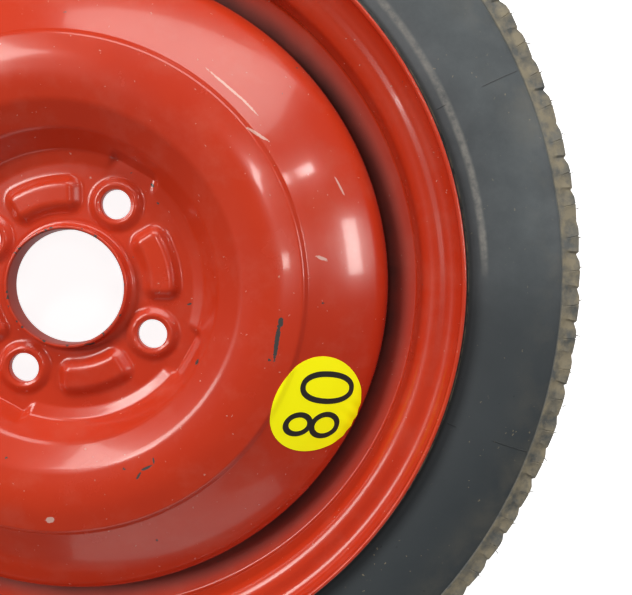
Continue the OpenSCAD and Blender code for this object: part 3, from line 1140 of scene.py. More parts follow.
    def ribs(self, finish: Finish) -> Value:
        """Gives the thin raised lines that the mould's joints left.

        Args:
            finish: The finish being made.

        Returns:
            The mask's socket.
        """
        shader = finish.shader
        lines: Value = 0.0
        for turn in self.mould_lines:
            parts = finish.turned(turn)
            off = shader.maths("ABSOLUTE", parts.outputs["Y"])
            ahead = shader.maths("GREATER_THAN", parts.outputs["X"], 0.0)
            line = shader.product(shader.band(off, self.mould_line_edge), ahead)
            lines = shader.maths("MAXIMUM", lines, line)
        radius = finish.radius()
        inside: Value = 0.0
        for start, end in self.mould_line_radii:
            stretch = shader.product(shader.band(radius, start), shader.band(radius, end))
            inside = shader.maths("MAXIMUM", inside, stretch)
        return shader.product(lines, inside)

    def made(self) -> Finish:
        """Builds the rubber's material.

        Returns:
            The finish.
        """
        finish = Finish(Slot.TYRE, "tyre_rubber_dusty")
        shader = finish.shader
        radius = finish.radius()
        # Darker over one broad sector of the sidewall.
        darker_sector = self.arc_share(finish, self.darker_sector_turn, self.darker_sector_half_turn)
        film = self.film(finish)
        grit = shader.product(finish.specks(self.grit), self.grit_share)
        patches = finish.clouds(self.grit_patches)
        patches = shader.maths("MULTIPLY_ADD", patches, 1 - self.grit_least, self.grit_least)
        grit = shader.product(grit, patches)
        pits = shader.product(finish.specks(self.pits), self.pit_share)
        pits = shader.product(pits, finish.clouds(self.pit_patches))
        lines = self.ribs(finish)
        tone = shader.layered(
            self.colour,
            (finish.clouds(self.colour_patches), self.dark),
            (shader.product(darker_sector, shader.band(radius, self.darker_sector_radii)), self.dark),
            (film, self.dust),
            (grit, self.dust),
            (pits, self.soot_and_shade),
            (self.scuff(finish), self.chalk),
            (shader.product(lines, self.mould_line_share), self.soot_and_shade),
            (shader.product(shader.band(radius, self.bead_shade), self.bead_shade_share), self.soot_and_shade),
            (self.rust(finish), self.dust),
        )
        shader.link(tone, finish.body.inputs["Base Color"])
        patches = finish.clouds(self.roughness_patches)
        rough = shader.maths("MULTIPLY_ADD", patches, self.patch_roughness, self.roughness)
        shader.link(shader.added(rough, (film, self.dust_roughness)), finish.body.inputs["Roughness"])
        finish.body.inputs["Specular IOR Level"].default_value = self.specular
        height = shader.product(shader.noise(finish.place, self.grain), self.grain_height)
        height = shader.added(height, (pits, self.pit_height), (lines, self.line_height))
        finish.roughen(height, self.relief)
        return finish


@dataclass(frozen=True)
class PlainFinish:
    """A finish of one colour that varies a little, for the valve's pieces, the label and its figures."""

    slot: Slot
    name: str
    colour: Colour
    roughness: float
    metallic: float = 0.0
    variation: float = 0.18
    colour_patches: Clouds = Clouds(160.0, 0.5, 0.25)
    roughness_patches: Clouds = Clouds(300.0, 0.5, 0.3)
    patch_roughness: float = 0.12
    grain: Noise = Noise(900.0)
    relief: Relief = Relief(0.4, 0.00004)
    # Above nought, the finish gives off light of its own colour: a painted glow.
    painted_glow: float = 0.0

    def made(self) -> Finish:
        """Builds the material.

        Returns:
            The finish.
        """
        finish = Finish(self.slot, self.name)
        shader = finish.shader
        shade = tuple(channel * (1 - self.variation) for channel in self.colour[:3]) + (1.0,)
        tone = shader.blend(finish.clouds(self.colour_patches), self.colour, shade)
        shader.link(tone, finish.body.inputs["Base Color"])
        patches = finish.clouds(self.roughness_patches)
        rough = shader.maths("MULTIPLY_ADD", patches, self.patch_roughness, self.roughness)
        shader.link(rough, finish.body.inputs["Roughness"])
        finish.body.inputs["Metallic"].default_value = self.metallic
        finish.body.inputs["Emission Color"].default_value = self.colour
        # Painted glow: the surface shines with its own colour though it is no lamp.
        finish.body.inputs["Emission Strength"].default_value = self.painted_glow
        finish.roughen(shader.noise(finish.place, self.grain), self.relief)
        return finish


@dataclass
class WheelDisc:
    """The pressed disc: collar, bolt bosses, kidney pads, dished wall, dome, crease ring and skirt."""

    sheet: float = 3.2
    bore_radius: float = 30.05
    hub_flat: float = 64.3
    collar_height: float = 10.5
    collar_wall: float = 1.9
    collar_foot: float = 5.0
    collar_flare: float = 0.3
    bolt_circle: float = 50.0
    bolt_count: int = 4
    bolt_turn: float = 59.7
    bolt_hole: float = 7.75
    bolt_seat: float = 8.5
    boss_height: float = 3.0
    boss_top: float = 9.5
    boss_foot: float = 15.8
    boss_blend: float = 0.5
    seat_roll: float = 2.0
    seat_roll_drop: float = 0.8
    seat_cone: float = 30.0
    pocket_edge: float = 0.9
    pocket_foot: float = 3.0
    pocket_less: float = 0.4
    pad_height: float = 4.5
    pad_in: float = 43.0
    pad_out: float = 54.2
    pad_span: float = 36.0
    pad_flank: float = 9.6
    pad_corner: float = 2.6
    pad_inner_edge: float = 2.6
    pad_blend: float = 0.6
    pad_hollow_inset: float = 1.4
    toe_reach: float = 7.0
    toe_rise: float = 2.4
    wall_reach: float = 9.0
    wall_rise: float = 14.6
    crest_foot_reach: float = 12.0
    crest_foot_drop: float = 3.6
    crest_height: float = 29.2
    crest_radius: float = 107.0
    crease_radius: float = 125.0
    crease_half: float = 1.2
    crease_level: float = 3.6
    crease_drop: float = 2.2
    dome_end: float = -0.75
    dome_bow: float = 1.2
    shoulder: float = 18.0
    skirt_radius: float = 170.5
    skirt_depth: float = 54.0
    facet_half: float = 12.6
    facet_radius: float = 70.9
    facet_rise: float = 14.6 / 9.6
    facet_blend: float = 1.6
    facet_fade: float = 2.2
    facet_start: float = 40.0
    facet_foot: float = 6.5
    facet_foot_fade: float = 6.0
    facet_under: float = 4.9
    pressed_past_toe: float = 5.0
    pressed_spacing: float = 0.85
    plain_spacing: float = 8.0
    pressed_under_spacing: float = 2.0
    plain_under_spacing: float = 12.0
    hole_steps: int = 64
    turn_steps: int = 432

    # A place further past a pad's end than this turn, in radians, is far from the pad in any case.
    PAST_LIMIT: ClassVar[float] = 1.2

    def __post_init__(self) -> None:
        """Works out the line of the disc's painted face."""
        self.toe = self.hub_flat + self.toe_reach
        self.wall_top = self.toe + self.wall_reach
        self.pressed_to = self.wall_top + self.pressed_past_toe
        crest_foot_z = self.crest_height - self.crest_foot_drop
        crease_z = self.crest_height - self.crease_level
        foot_r = self.crease_radius + self.crease_half
        foot_z = crease_z - self.crease_drop
        skirt_z = self.dome_end
        self.line = rounded([
            Corner(self.bore_radius + self.collar_foot, self.sheet),
            Corner(self.hub_flat, self.sheet, 6.0),
            Corner(self.toe, self.sheet + self.toe_rise, 5.0),
            Corner(self.wall_top, self.sheet + self.wall_rise, 9.0),
            Corner(self.wall_top + self.crest_foot_reach, crest_foot_z, 12.0),
            Corner(self.crest_radius, self.crest_height, 40.0),
            Corner(self.crease_radius - self.crease_half, crease_z, 3.8),
            Corner(foot_r, foot_z, 3.0),
            Corner((foot_r + self.skirt_radius) / 2, (foot_z + skirt_z) / 2 + self.dome_bow, 180.0),
            Corner(self.skirt_radius, skirt_z, self.shoulder),
            Corner(self.skirt_radius, -self.skirt_depth),
        ], 4.5)

    def outline(self) -> np.ndarray:
        """Draws the sheet's whole section, with close points where the pressings are.

        Returns:
            Radius and height of the points.
        """
        bore, top = self.bore_radius, self.collar_height
        outside = bore + self.collar_wall
        collar = rounded([
            Corner(bore + self.collar_foot, 0.0), Corner(bore, 0.0, 0.3), Corner(bore, top, 0.75),
            Corner(outside, top, 0.9), Corner(outside + self.collar_flare, self.sheet, 2.6),
            Corner(bore + self.collar_foot, self.sheet),
        ], 15.0)
        hub = self.line[self.line[:, 0] < self.pressed_to]
        rest = self.line[self.line[:, 0] >= self.pressed_to]
        outer = np.vstack([filled(hub, self.pressed_spacing), filled(rest, self.plain_spacing)])
        under = beside(self.line, self.sheet)
        near = under[:, 0] < self.pressed_to
        # The inboard side is seen only from behind, so every second point is enough for it.
        under_hub = filled(under[near][::2], self.pressed_under_spacing)
        under_rest = filled(np.vstack([under[~near][:-1:2], under[-1:]]), self.plain_under_spacing)
        inner = np.vstack([under_hub, under_rest])
        return np.vstack([collar[1:-1], outer, inner[::-1][:-1]])

    def bolt_angle(self, k: float) -> float:
        """Gives the turn of a bolt, or of the place between two bolts where k ends in a half."""
        return math.radians(self.bolt_turn + k * 360 / self.bolt_count)

    def height_of_boss(
        self, x: np.ndarray, y: np.ndarray, top: float, foot: float, height: float,
    ) -> np.ndarray:
        """Works out the bolt bosses' heights.

        Args:
            x: The places across the wheel.
            y: The places along the wheel.
            top: A boss's flat radius.
            foot: The radius where it meets the sheet.
            height: Its height.

        Returns:
            The height at each place, 0 away from the bosses.
        """
        result = np.zeros_like(x)
        for k in range(self.bolt_count):
            angle = self.bolt_angle(k)
            far = np.hypot(x - self.bolt_circle * math.cos(angle), y - self.bolt_circle * math.sin(angle))
            raised = height * smooth_step((far - top) / (foot - top))
            inside = np.clip((self.bolt_seat + self.seat_roll - far) / self.seat_roll, 0, 1)
            rolled = inside ** 2 * self.seat_roll_drop
            result = np.maximum(result, raised - rolled)
        return result

    def height_of_pad(self, x: np.ndarray, y: np.ndarray, inset: float, height: float) -> np.ndarray:
        """Works out the kidney pads' heights.

        Args:
            x: The places across the wheel.
            y: The places along the wheel.
            inset: How far the pad's edge is drawn in.
            height: Its height.

        Returns:
            The height at each place, 0 away from the pads.
        """
        result = np.zeros_like(x)
        radius = np.hypot(x, y)
        r_in, r_out = self.pad_in + inset, self.pad_out - inset
        corner = self.pad_corner
        middle = (r_in + r_out) / 2
        half_turn = math.radians(self.pad_span / 2) - (corner + inset) / middle
        for k in range(self.bolt_count):
            angle = self.bolt_angle(k + 0.5)
            off = np.abs((np.arctan2(y, x) - angle + math.pi) % math.tau - math.pi)
            past = np.clip(off - half_turn, 0, self.PAST_LIMIT)
            sideways = radius * np.sin(past)
            lengthways = radius * np.cos(past)
            across = np.maximum(np.abs(lengthways - middle) - ((r_out - r_in) / 2 - corner), 0)
            far = np.hypot(sideways, across) - corner + self.pad_inner_edge
            result = np.maximum(result, height * rounder_step(far / self.pad_flank))
        return result

    def facet(self, x: np.ndarray, y: np.ndarray, heights: np.ndarray, drop: float) -> np.ndarray:
        """Cuts the tool clearances beside the bolts into the wall's heights.

        Args:
            x: The places across the wheel, in millimetres.
            y: The places along the wheel, in millimetres.
            heights: The wall's heights there without the clearances.
            drop: How far the cut surface lies under the outboard one.

        Returns:
            The heights with the four flat facets.
        """
        result = heights.copy()
        for k in range(self.bolt_count):
            angle = self.bolt_angle(k)
            ahead = x * math.cos(angle) + y * math.sin(angle)
            aside = np.abs(-x * math.sin(angle) + y * math.cos(angle))
            flat = self.sheet - drop + np.maximum(ahead - self.facet_radius, 0) * self.facet_rise
            cut = -soft_max(-heights, -flat, self.facet_blend)
            beside_it = (aside - self.facet_half + self.facet_fade) / (2 * self.facet_fade)
            share = smooth_step(beside_it) * (ahead > self.facet_start)
            share = share * smooth_step((heights + drop - self.facet_foot) / self.facet_foot_fade)
            result = np.minimum(result, heights + (np.minimum(cut, heights) - heights) * share)
        return result

    def press(self, piece: bpy.types.Object) -> None:
        """Presses bosses, pads and tool clearances into the plain disc.

        Args:
            piece: The plain disc.
        """
        places = MeshBench.places(piece)
        x, y, z = places.T
        radius = np.hypot(x, y)
        inner_line = beside(self.line, self.sheet)
        top = np.interp(radius, self.line[:, 0], self.line[:, 1])
        order = np.argsort(inner_line[:, 0])
        under = np.interp(radius, inner_line[order, 0], inner_line[order, 1])
        zone = (radius > self.bore_radius + self.collar_foot + 0.5) & (radius < self.pressed_to - 1)
        is_top = zone & (np.abs(z - top) < np.abs(z - under))
        is_under = zone & ~is_top
        top_z = self.facet(x, y, top, 0.0)
        under_z = np.maximum(self.facet(x, y, under, self.facet_under), 0.0)
        boss = self.sheet + self.height_of_boss(x, y, self.boss_top, self.boss_foot, self.boss_height)
        pad = self.sheet + self.height_of_pad(x, y, 0.0, self.pad_height)
        raised = soft_max(soft_max(top_z, boss, self.boss_blend), pad, self.pad_blend)
        pocket = self.height_of_boss(
            x, y, self.bolt_hole + self.pocket_edge, self.boss_foot - self.pocket_foot,
            self.boss_height - self.pocket_less,
        )
        hollow = self.height_of_pad(x, y, self.pad_hollow_inset, self.pad_height)
        sunk = np.maximum(np.maximum(under_z, pocket), hollow)
        places[is_top, 2] = raised[is_top]
        places[is_under, 2] = sunk[is_under]
        MeshBench.move_to(piece, places)

    def drill(self, piece: bpy.types.Object) -> None:
        """Cuts the bolt holes with their cone seats.

        Args:
            piece: The pressed disc.
        """
        seat_z = self.sheet + self.boss_height
        drop = (self.bolt_seat - self.bolt_hole) / math.tan(math.radians(self.seat_cone))
        below, above = -2.0, seat_z + 1.8
        outline = np.array([
            [0.0, below], [self.bolt_hole, below], [self.bolt_hole, seat_z - drop],
            [self.bolt_seat, seat_z], [self.bolt_seat + 1.0, above], [0.0, above],
        ])
        cutters = []
        for k in range(self.bolt_count):
            cutter = MeshBench.spun("bolt_cutter", outline, self.hole_steps, closed=False)
            away = Matrix.Translation((self.bolt_circle * MM, 0, 0))
            cutters.append(MeshBench.applied(cutter, Matrix.Rotation(self.bolt_angle(k), 4, "Z") @ away))
        MeshBench.cut(piece, MeshBench.joined(cutters, "bolt_cutters"))

    def made(self, paint: Finish) -> bpy.types.Object:
        """Builds the disc.

        Args:
            paint: The wheel's paint.

        Returns:
            The new piece.
        """
        piece = MeshBench.spun("painted_disc", self.outline(), self.turn_steps)
        self.press(piece)
        self.drill(piece)
        MeshBench.smooth(piece)
        paint.dress(piece)
        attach(piece, BODY_WHEEL)
        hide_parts("wheel_disc")
        return piece


@dataclass
class RolledRim:
    """The rim: two curled flanges, two bead seats with their humps, and the well."""

    sheet: float = 2.3
    flange_curl: float = 9.5
    lip_turn: float = 21.0
    well_radius: float = SEAT_RADIUS - 17.3
    well_far_edge: float = -19.0
    seat_slope: float = 5.0
    hump_place: float = 19.8
    hump_drop: float = 0.2
    hump_half: float = 5.5
    step_lean: float = 20.0
    valve_turn: float = 180.0
    valve_hole: float = 5.65
    valve_shift: float = 0.7
    valve_cut: tuple[float, float] = (-4.0, 6.0)
    valve_steps: int = 48
    turn_steps: int = 280

    def __post_init__(self) -> None:
        """Works out the step that the valve sits in."""
        self.hump = RIM_HALF_WIDTH - self.hump_place
        self.hump_radius = SEAT_RADIUS - self.hump_drop
        step = self.hump_radius - self.well_radius
        self.well_edge = self.hump - step * math.tan(math.radians(self.step_lean))

    def outline(self) -> np.ndarray:
        """Draws the sheet's section with round lips.

        Returns:
            Radius and height of the points.
        """
        curl = self.flange_curl
        top = arc((FLANGE_RADIUS - curl, RIM_HALF_WIDTH + curl), curl, self.lip_turn, -90.0, 5.0)
        bottom = arc((FLANGE_RADIUS - curl, -RIM_HALF_WIDTH - curl), curl, 90.0, -self.lip_turn, 5.0)
        seat_end = self.hump + self.hump_half
        seat_end_r = SEAT_RADIUS - (RIM_HALF_WIDTH - seat_end) * math.tan(math.radians(self.seat_slope))
        middle = rounded([
            Corner(*top[-1]), Corner(SEAT_RADIUS, RIM_HALF_WIDTH, 6.5), Corner(seat_end_r, seat_end, 5.0),
            Corner(self.hump_radius, self.hump, 4.0), Corner(self.well_radius, self.well_edge, 3.0),
            Corner(self.well_radius, self.well_far_edge, 8.0), Corner(self.hump_radius, -self.hump, 6.0),
            Corner(seat_end_r, -seat_end, 5.0), Corner(SEAT_RADIUS, -RIM_HALF_WIDTH, 6.5), Corner(*bottom[0]),
        ], 5.0)
        line = np.vstack([top[:-1], middle, bottom[1:]])
        line = filled(line, 6.0)
        far = beside(line, self.sheet)
        ends = []
        for a, b in ((far[0], line[0]), (line[-1], far[-1])):
            middle_point = (a + b) / 2
            start = math.degrees(math.atan2(*(a - middle_point)[::-1]))
            ends.append(arc(tuple(middle_point), self.sheet / 2, start, start - 180.0, 30.0)[1:-1])
        outline = np.vstack([line, ends[1], far[::-1], ends[0]])
        outline[:, 1] -= WHEEL_OFFSET
        return outline

    def valve_place(self) -> Matrix:
        """Works out where the valve sits, its axis square to the well's step.

        Returns:
            The valve's own frame, in metres.
        """
        lean_rad = math.radians(self.step_lean)
        r = (self.hump_radius + self.well_radius) / 2 - self.valve_shift * math.cos(lean_rad)
        z = (self.hump + self.well_edge) / 2 - self.valve_shift * math.sin(lean_rad) - WHEEL_OFFSET
        turn = Matrix.Rotation(math.radians(self.valve_turn), 4, "Z")
        lean = Matrix.Rotation(math.radians(-self.step_lean), 4, "Y")
        return turn @ Matrix.Translation((r * MM, 0, z * MM)) @ lean

    def made(self, paint: Finish) -> bpy.types.Object:
        """Builds the rim with its valve hole.

        Args:
            paint: The wheel's paint.

        Returns:
            The new piece.
        """
        piece = MeshBench.spun("painted_rim", self.outline(), self.turn_steps)
        low, high = self.valve_cut
        outline = np.array([[0.0, low], [self.valve_hole, low], [self.valve_hole, high], [0.0, high]])
        cutter = MeshBench.spun("valve_cutter", outline, self.valve_steps, closed=False)
        MeshBench.cut(piece, MeshBench.applied(cutter, self.valve_place()))
        MeshBench.smooth(piece)
        paint.dress(piece)
        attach(piece, BODY_WHEEL)
        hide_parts("rim")
        return piece


@dataclass
class NarrowTyre:
    """The tyre: beads, sidewalls with their rings, and a tread with shoulder notches and sipes."""

    radius: float = 271.5
    half_width: float = 57.5
    tread_half: float = 51.6
    shoulder_drop: float = 11.0
    tread_depth: float = 4.5
    groove_width: float = 6.0
    pitches: int = 96
    notch_depth: float = 2.3
    hollow_depth: float = 1.2
    bead_gap: float = 0.2
    bead_width: float = 17.0
    bead_taper: float = 1.3
    groove_place: float = 23.25
    groove_lean: float = 1.2
    rib_drop: float = 0.4
    shoulder_rib_drop: float = 0.3
    edge_drop: float = 0.2
    crown_wall: float = 10.0
    side_wall: float = 5.4
    guard_ring: float = 2.2
    sipe_depth: float = 3.0
    edge_sipe_depth: float = 0.5
    notch_reach: tuple[float, float] = (9.0, 5.0)
    notch_fade: float = 2.5
    uneven_waves: int = 19
    uneven_turn: float = 0.00315
    spacing: float = 10.0
    stations: tuple[float, ...] = (0.0, 0.22, 0.46, 0.48, 0.50, 0.72, 0.94)
    notch_share: tuple[float, ...] = (0.05, 0.0, 0.0, 0.0, 0.0, 0.25, 1.0)
    sipe_share: tuple[float, ...] = (0.0, 0.0, 0.0, 1.0, 0.0, 0.0, 0.0)
    saw_depth: float = 1.1
    saw_share: tuple[float, ...] = (0.85, 0.68, 0.45, 0.43, 0.41, 0.12, 0.0)
    hollow_share: tuple[float, ...] = (0.1, 1.0, 0.3, 0.3, 0.3, 0.9, 0.25)
    lean: tuple[float, ...] = (0.35, 0.10, -0.2, -0.2, -0.2, 0.0, 0.35)

    def half_outside(self) -> np.ndarray:
        """Draws the outside from the tread's middle to the bead's toe.

        Returns:
            Radius and place across of the points.
        """
        crown, depth, half = self.radius, self.tread_depth, self.groove_width / 2
        place, lean, edge = self.groove_place, self.groove_lean, self.tread_half
        rib, shoulder, last = crown - self.rib_drop, crown - self.shoulder_rib_drop, crown - self.edge_drop
        line = crown - self.shoulder_drop
        ring = FLANGE_RADIUS + self.guard_ring
        tall = line - ring
        toe = Corner(SEAT_RADIUS - self.bead_taper, RIM_HALF_WIDTH - self.bead_width)
        return rounded([
            Corner(crown - depth, 0.0), Corner(crown - depth, half - lean), Corner(crown, half),
            Corner(rib, place - half), Corner(rib - depth, place - half + lean),
            Corner(rib - depth, place + half - lean), Corner(rib, place + half),
            Corner(shoulder, place + half + 6.0), Corner(last, edge - 7.5), Corner(last, edge - 3.5),
            Corner(last, edge, 1.2), Corner(crown - 2.8, edge + 0.5), Corner(crown - 5.6, edge + 0.95),
            Corner(crown - 8.4, edge + 1.35),
            Corner(line, self.half_width - 4.2, 0.8), Corner(line - 0.5, self.half_width - 4.7, 0.3),
            Corner(line - 1.6, self.half_width - 4.0, 0.8),
            Corner(ring + 0.75 * tall, self.half_width - 0.6, 30.0),
            Corner(ring + 0.34 * tall, self.half_width - 0.2, 30.0),
            Corner(ring + 2.2, RIM_HALF_WIDTH + 2.4, 2.0), Corner(ring + 1.3, RIM_HALF_WIDTH + 3.0, 0.4),
            Corner(ring - 0.2, RIM_HALF_WIDTH + 2.7, 0.4), Corner(ring - 0.8, RIM_HALF_WIDTH + 1.6, 0.8),
            Corner(SEAT_RADIUS + 11.0, RIM_HALF_WIDTH - self.bead_gap, 8.0),
            Corner(SEAT_RADIUS + self.bead_gap, RIM_HALF_WIDTH - self.bead_gap, 6.3), toe,
        ], 22.0)

    def half_inside(self) -> np.ndarray:
        """Draws the inside from the bead's toe to the middle of the crown.

        Returns:
            Radius and place across of the points.
        """
        side = self.half_width - self.side_wall
        crown = self.radius - self.crown_wall
        return rounded([
            Corner(SEAT_RADIUS - self.bead_taper, RIM_HALF_WIDTH - self.bead_width),
            Corner(SEAT_RADIUS + 6.0, RIM_HALF_WIDTH - 14.0, 8.0),
            Corner(FLANGE_RADIUS + 2.0, self.half_width - 11.0, 14.0),
            Corner(FLANGE_RADIUS + 20.0, side, 26.0), Corner(self.radius - 24.0, side, 20.0),
            Corner(crown - 0.5, self.tread_half - 8.0, 12.0), Corner(crown, 0.0),
        ], 40.0)

    def outline(self) -> np.ndarray:
        """Draws the whole section.

        Returns:
            Radius and height of the points.
        """
        outside = filled(self.half_outside(), self.spacing)
        inside = self.half_inside()
        half = np.vstack([outside, inside[1:]])
        flipped = half[::-1] * np.array([1.0, -1.0])
        outline = np.vstack([half, flipped[1:-1]])
        outline[:, 1] -= WHEEL_OFFSET
        return outline

    def notch(self, piece: bpy.types.Object) -> None:
        """Moves the turned section's copies to each pitch's stations and presses the notches in.

        Args:
            piece: The plain tyre.
        """
        count = len(self.stations)
        places = MeshBench.places(piece)
        x, y, z = places.T
        radius = np.hypot(x, y)
        across = z + WHEEL_OFFSET
        side = np.abs(across)
        step = np.rint((np.arctan2(y, x) % math.tau) / math.tau * self.pitches * count).astype(int)
        pitch, station = step // count, step % count
        edge, crown, drop = self.tread_half, self.radius - self.edge_drop, self.shoulder_drop - self.edge_drop
        outside = radius > np.interp(
            side, [0, edge - 8, self.half_width - self.side_wall],
            [self.radius - 7, self.radius - 8, self.radius - 20],
        )
        # Down the shoulder the slope runs from 0 at the tread's edge to 1 at the sidewall's top line.
        slope = np.clip((crown - radius) / drop, 0, 1) * outside * (side > edge - 1)
        first, full = edge - self.notch_reach[0], edge - self.notch_reach[1]
        shoulder = np.where(outside, np.interp(side, [first, full], [0, 1]), 0.0) * (1 - 0.9 * slope)
        shoulder *= np.clip((radius - (self.radius - drop)) / self.notch_fade, 0, 1)
        hollow = self.hollow_depth * np.sin(slope * math.pi) * np.array(self.hollow_share)[station]
        # The notches lean, more so down the shoulder, and no two pitches are alike.
        sway = np.interp(side, [edge - 10, edge], [-0.12, 0.0]) + 0.30 * slope
        lean = np.array(self.lean)[station] * sway * (shoulder > 0)
        along = pitch + np.array(self.stations)[station]
        waves = np.sin(along * math.tau * self.uneven_waves / self.pitches)
        uneven = self.uneven_turn * waves * np.interp(side, [30, 40], [0.0, 1.0]) * outside
        angle = (along + lean) / self.pitches * math.tau + uneven
        size = 0.85 + 0.2 * np.cos(pitch * 2.4) - 0.2 * (pitch % 5 == 1)
        depth = self.notch_depth * size * np.array(self.notch_share)[station]
        slit = self.edge_sipe_depth * np.array(self.sipe_share)[station] * (side > edge - 7)
        ribs = (side > 4.2) & (side < edge - 8) & (radius > self.radius - 2)
        inner_slit = self.sipe_depth * np.array(self.sipe_share)[station] * ribs
        saw = self.saw_depth * np.array(self.saw_share)[station]
        sink = (depth + slit + saw) * shoulder + hollow
        # Past the tread's edge a notch sinks sideways rather than inwards.
        tilt = np.interp(side, [edge - 2.5, edge, edge + 0.4], [0.0, 0.55, 0.96])
        radius = radius - sink * np.sqrt(1 - tilt ** 2) - inner_slit
        across = np.sign(across) * (side - sink * tilt)
        places = np.stack([radius * np.cos(angle), radius * np.sin(angle), across - WHEEL_OFFSET], 1)
        MeshBench.move_to(piece, places)

    def made(self, rubber: Finish) -> bpy.types.Object:
        """Builds the tyre.

        Args:
            rubber: The tyre's rubber.

        Returns:
            The new piece.
        """
        piece = MeshBench.spun("moulded_tyre", self.outline(), self.pitches * len(self.stations))
        self.notch(piece)
        MeshBench.smooth(piece)
        rubber.dress(piece)
        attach(piece, BODY_WHEEL)
        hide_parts("tyre")
        return piece


@dataclass
class MouldingWhiskers:
    """The thin rubber hairs that the mould's vents left on both edges of the tread."""

    radius: float = 271.0
    across: float = 50.9
    length: float = 3.0
    count: int = 96
    thickness: float = 0.30
    tip: float = 0.04
    turn_start: float = 0.48
    turn_sway: float = 0.13
    stand_off: float = 0.28
    stand_sway: float = 0.12
    lean_sway: float = 16.0
    twist: float = 0.5

    def place(self, k: int, side: int) -> Matrix:
        """Gives one hair's place, which sways a little from hair to hair.

        Args:
            k: The hair's number round the tread.
            side: 1 for the outboard edge and -1 for the inboard one.

        Returns:
            The place in metres.
        """
        pitches = k + self.turn_start + self.turn_sway * math.sin(k * 5.1 + side)
        turn = math.radians(pitches * 360 / self.count)
        out = (self.radius + self.length * (self.stand_off + self.stand_sway * math.sin(k * 3.7))) * MM
        lean = math.radians(90 - self.lean_sway * math.sin(k * 2.3 + side))
        place = Matrix.Translation((out, 0, (side * self.across - WHEEL_OFFSET) * MM))
        tip = Matrix.Rotation(lean, 4, "Y") @ Matrix.Rotation(self.twist * math.sin(k * 1.9), 4, "X")
        return Matrix.Rotation(turn, 4, "Z") @ place @ tip

    def made(self, rubber: Finish) -> bpy.types.Object:
        """Models one hair, copies it round both edges and joins the copies.

        Args:
            rubber: The tyre's rubber.

        Returns:
            The new piece.
        """
        bpy.ops.object.select_all(action="DESELECT")
        bpy.ops.mesh.primitive_cone_add(
            vertices=4, radius1=self.thickness * MM, radius2=self.tip * MM, depth=self.length * MM,
            location=(0, 0, 0),
        )
        first = bpy.context.active_object
        hairs = []
        for k in range(self.count):
            for side in (1, -1):
                hairs.append(MeshBench.copied(first, self.place(k, side)))
        bpy.data.objects.remove(first)
        piece = MeshBench.joined(hairs, "moulding_whiskers")
        rubber.dress(piece)
        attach(piece, BODY_WHEEL)
        return piece


@dataclass
class WeldBeads:
    """The eight short weld beads that hold the disc's skirt in the rim's well."""

    radius: float = 170.5
    depth: float = -54.0
    leg: float = 3.2
    count: int = 8
    span: float = 22.0
    ripples: int = 44
    ripple_size: float = 0.07
    ripple_turn: float = 88.0
    run_out: float = 0.3
    end_share: float = 0.005

    def bead(self) -> bpy.types.Object:
        """Sweeps one bead with ripples and ends that run out to nothing.

        Returns:
            The new piece.
        """
        leg = self.leg
        outline = np.array([
            [self.radius, self.depth], [self.radius - leg, self.depth],
            [self.radius - 0.9 * leg, self.depth - 0.36 * leg],
            [self.radius - 0.72 * leg, self.depth - 0.66 * leg],
            [self.radius - 0.46 * leg, self.depth - 0.9 * leg],
            [self.radius - 0.2 * leg, self.depth - 1.04 * leg],
            [self.radius, self.depth - 1.1 * leg],
        ])
        piece = MeshBench.swept("weld_bead", outline, self.ripples, self.span)
        places = MeshBench.places(piece)
        radius = np.hypot(places[:, 0], places[:, 1])
        angle = np.abs(np.arctan2(places[:, 1], places[:, 0]))
        share = angle / math.radians(self.span)
        size = np.clip(np.sin(np.clip(share, 0, 1) * math.pi), 0, 1) ** self.run_out
        size = np.where((share < self.end_share) | (share > 1 - self.end_share), 0.0, size)
        size = size * (1 + self.ripple_size * np.sin(share * self.ripple_turn))
        radius = self.radius + (radius - self.radius) * size
        height = self.depth + (places[:, 2] - self.depth) * size
        MeshBench.move_to(piece, np.stack([radius * np.cos(angle), radius * np.sin(angle), height], 1))
        MeshBench.closed(piece)
        return piece

    def made(self, paint: Finish) -> bpy.types.Object:
        """Copies the bead round the wheel.

        Args:
            paint: The wheel's paint.

        Returns:
            The new piece.
        """
        first = self.bead()
        beads = []
        for k in range(self.count):
            turn = math.radians((k + 0.5) * 360 / self.count - self.span / 2)
            beads.append(MeshBench.copied(first, Matrix.Rotation(turn, 4, "Z")))
        bpy.data.objects.remove(first)
        piece = MeshBench.joined(beads, "painted_weld_beads")
        MeshBench.smooth(piece)
        paint.dress(piece)
        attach(piece, BODY_WHEEL)
        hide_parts("weld_beads")
        return piece


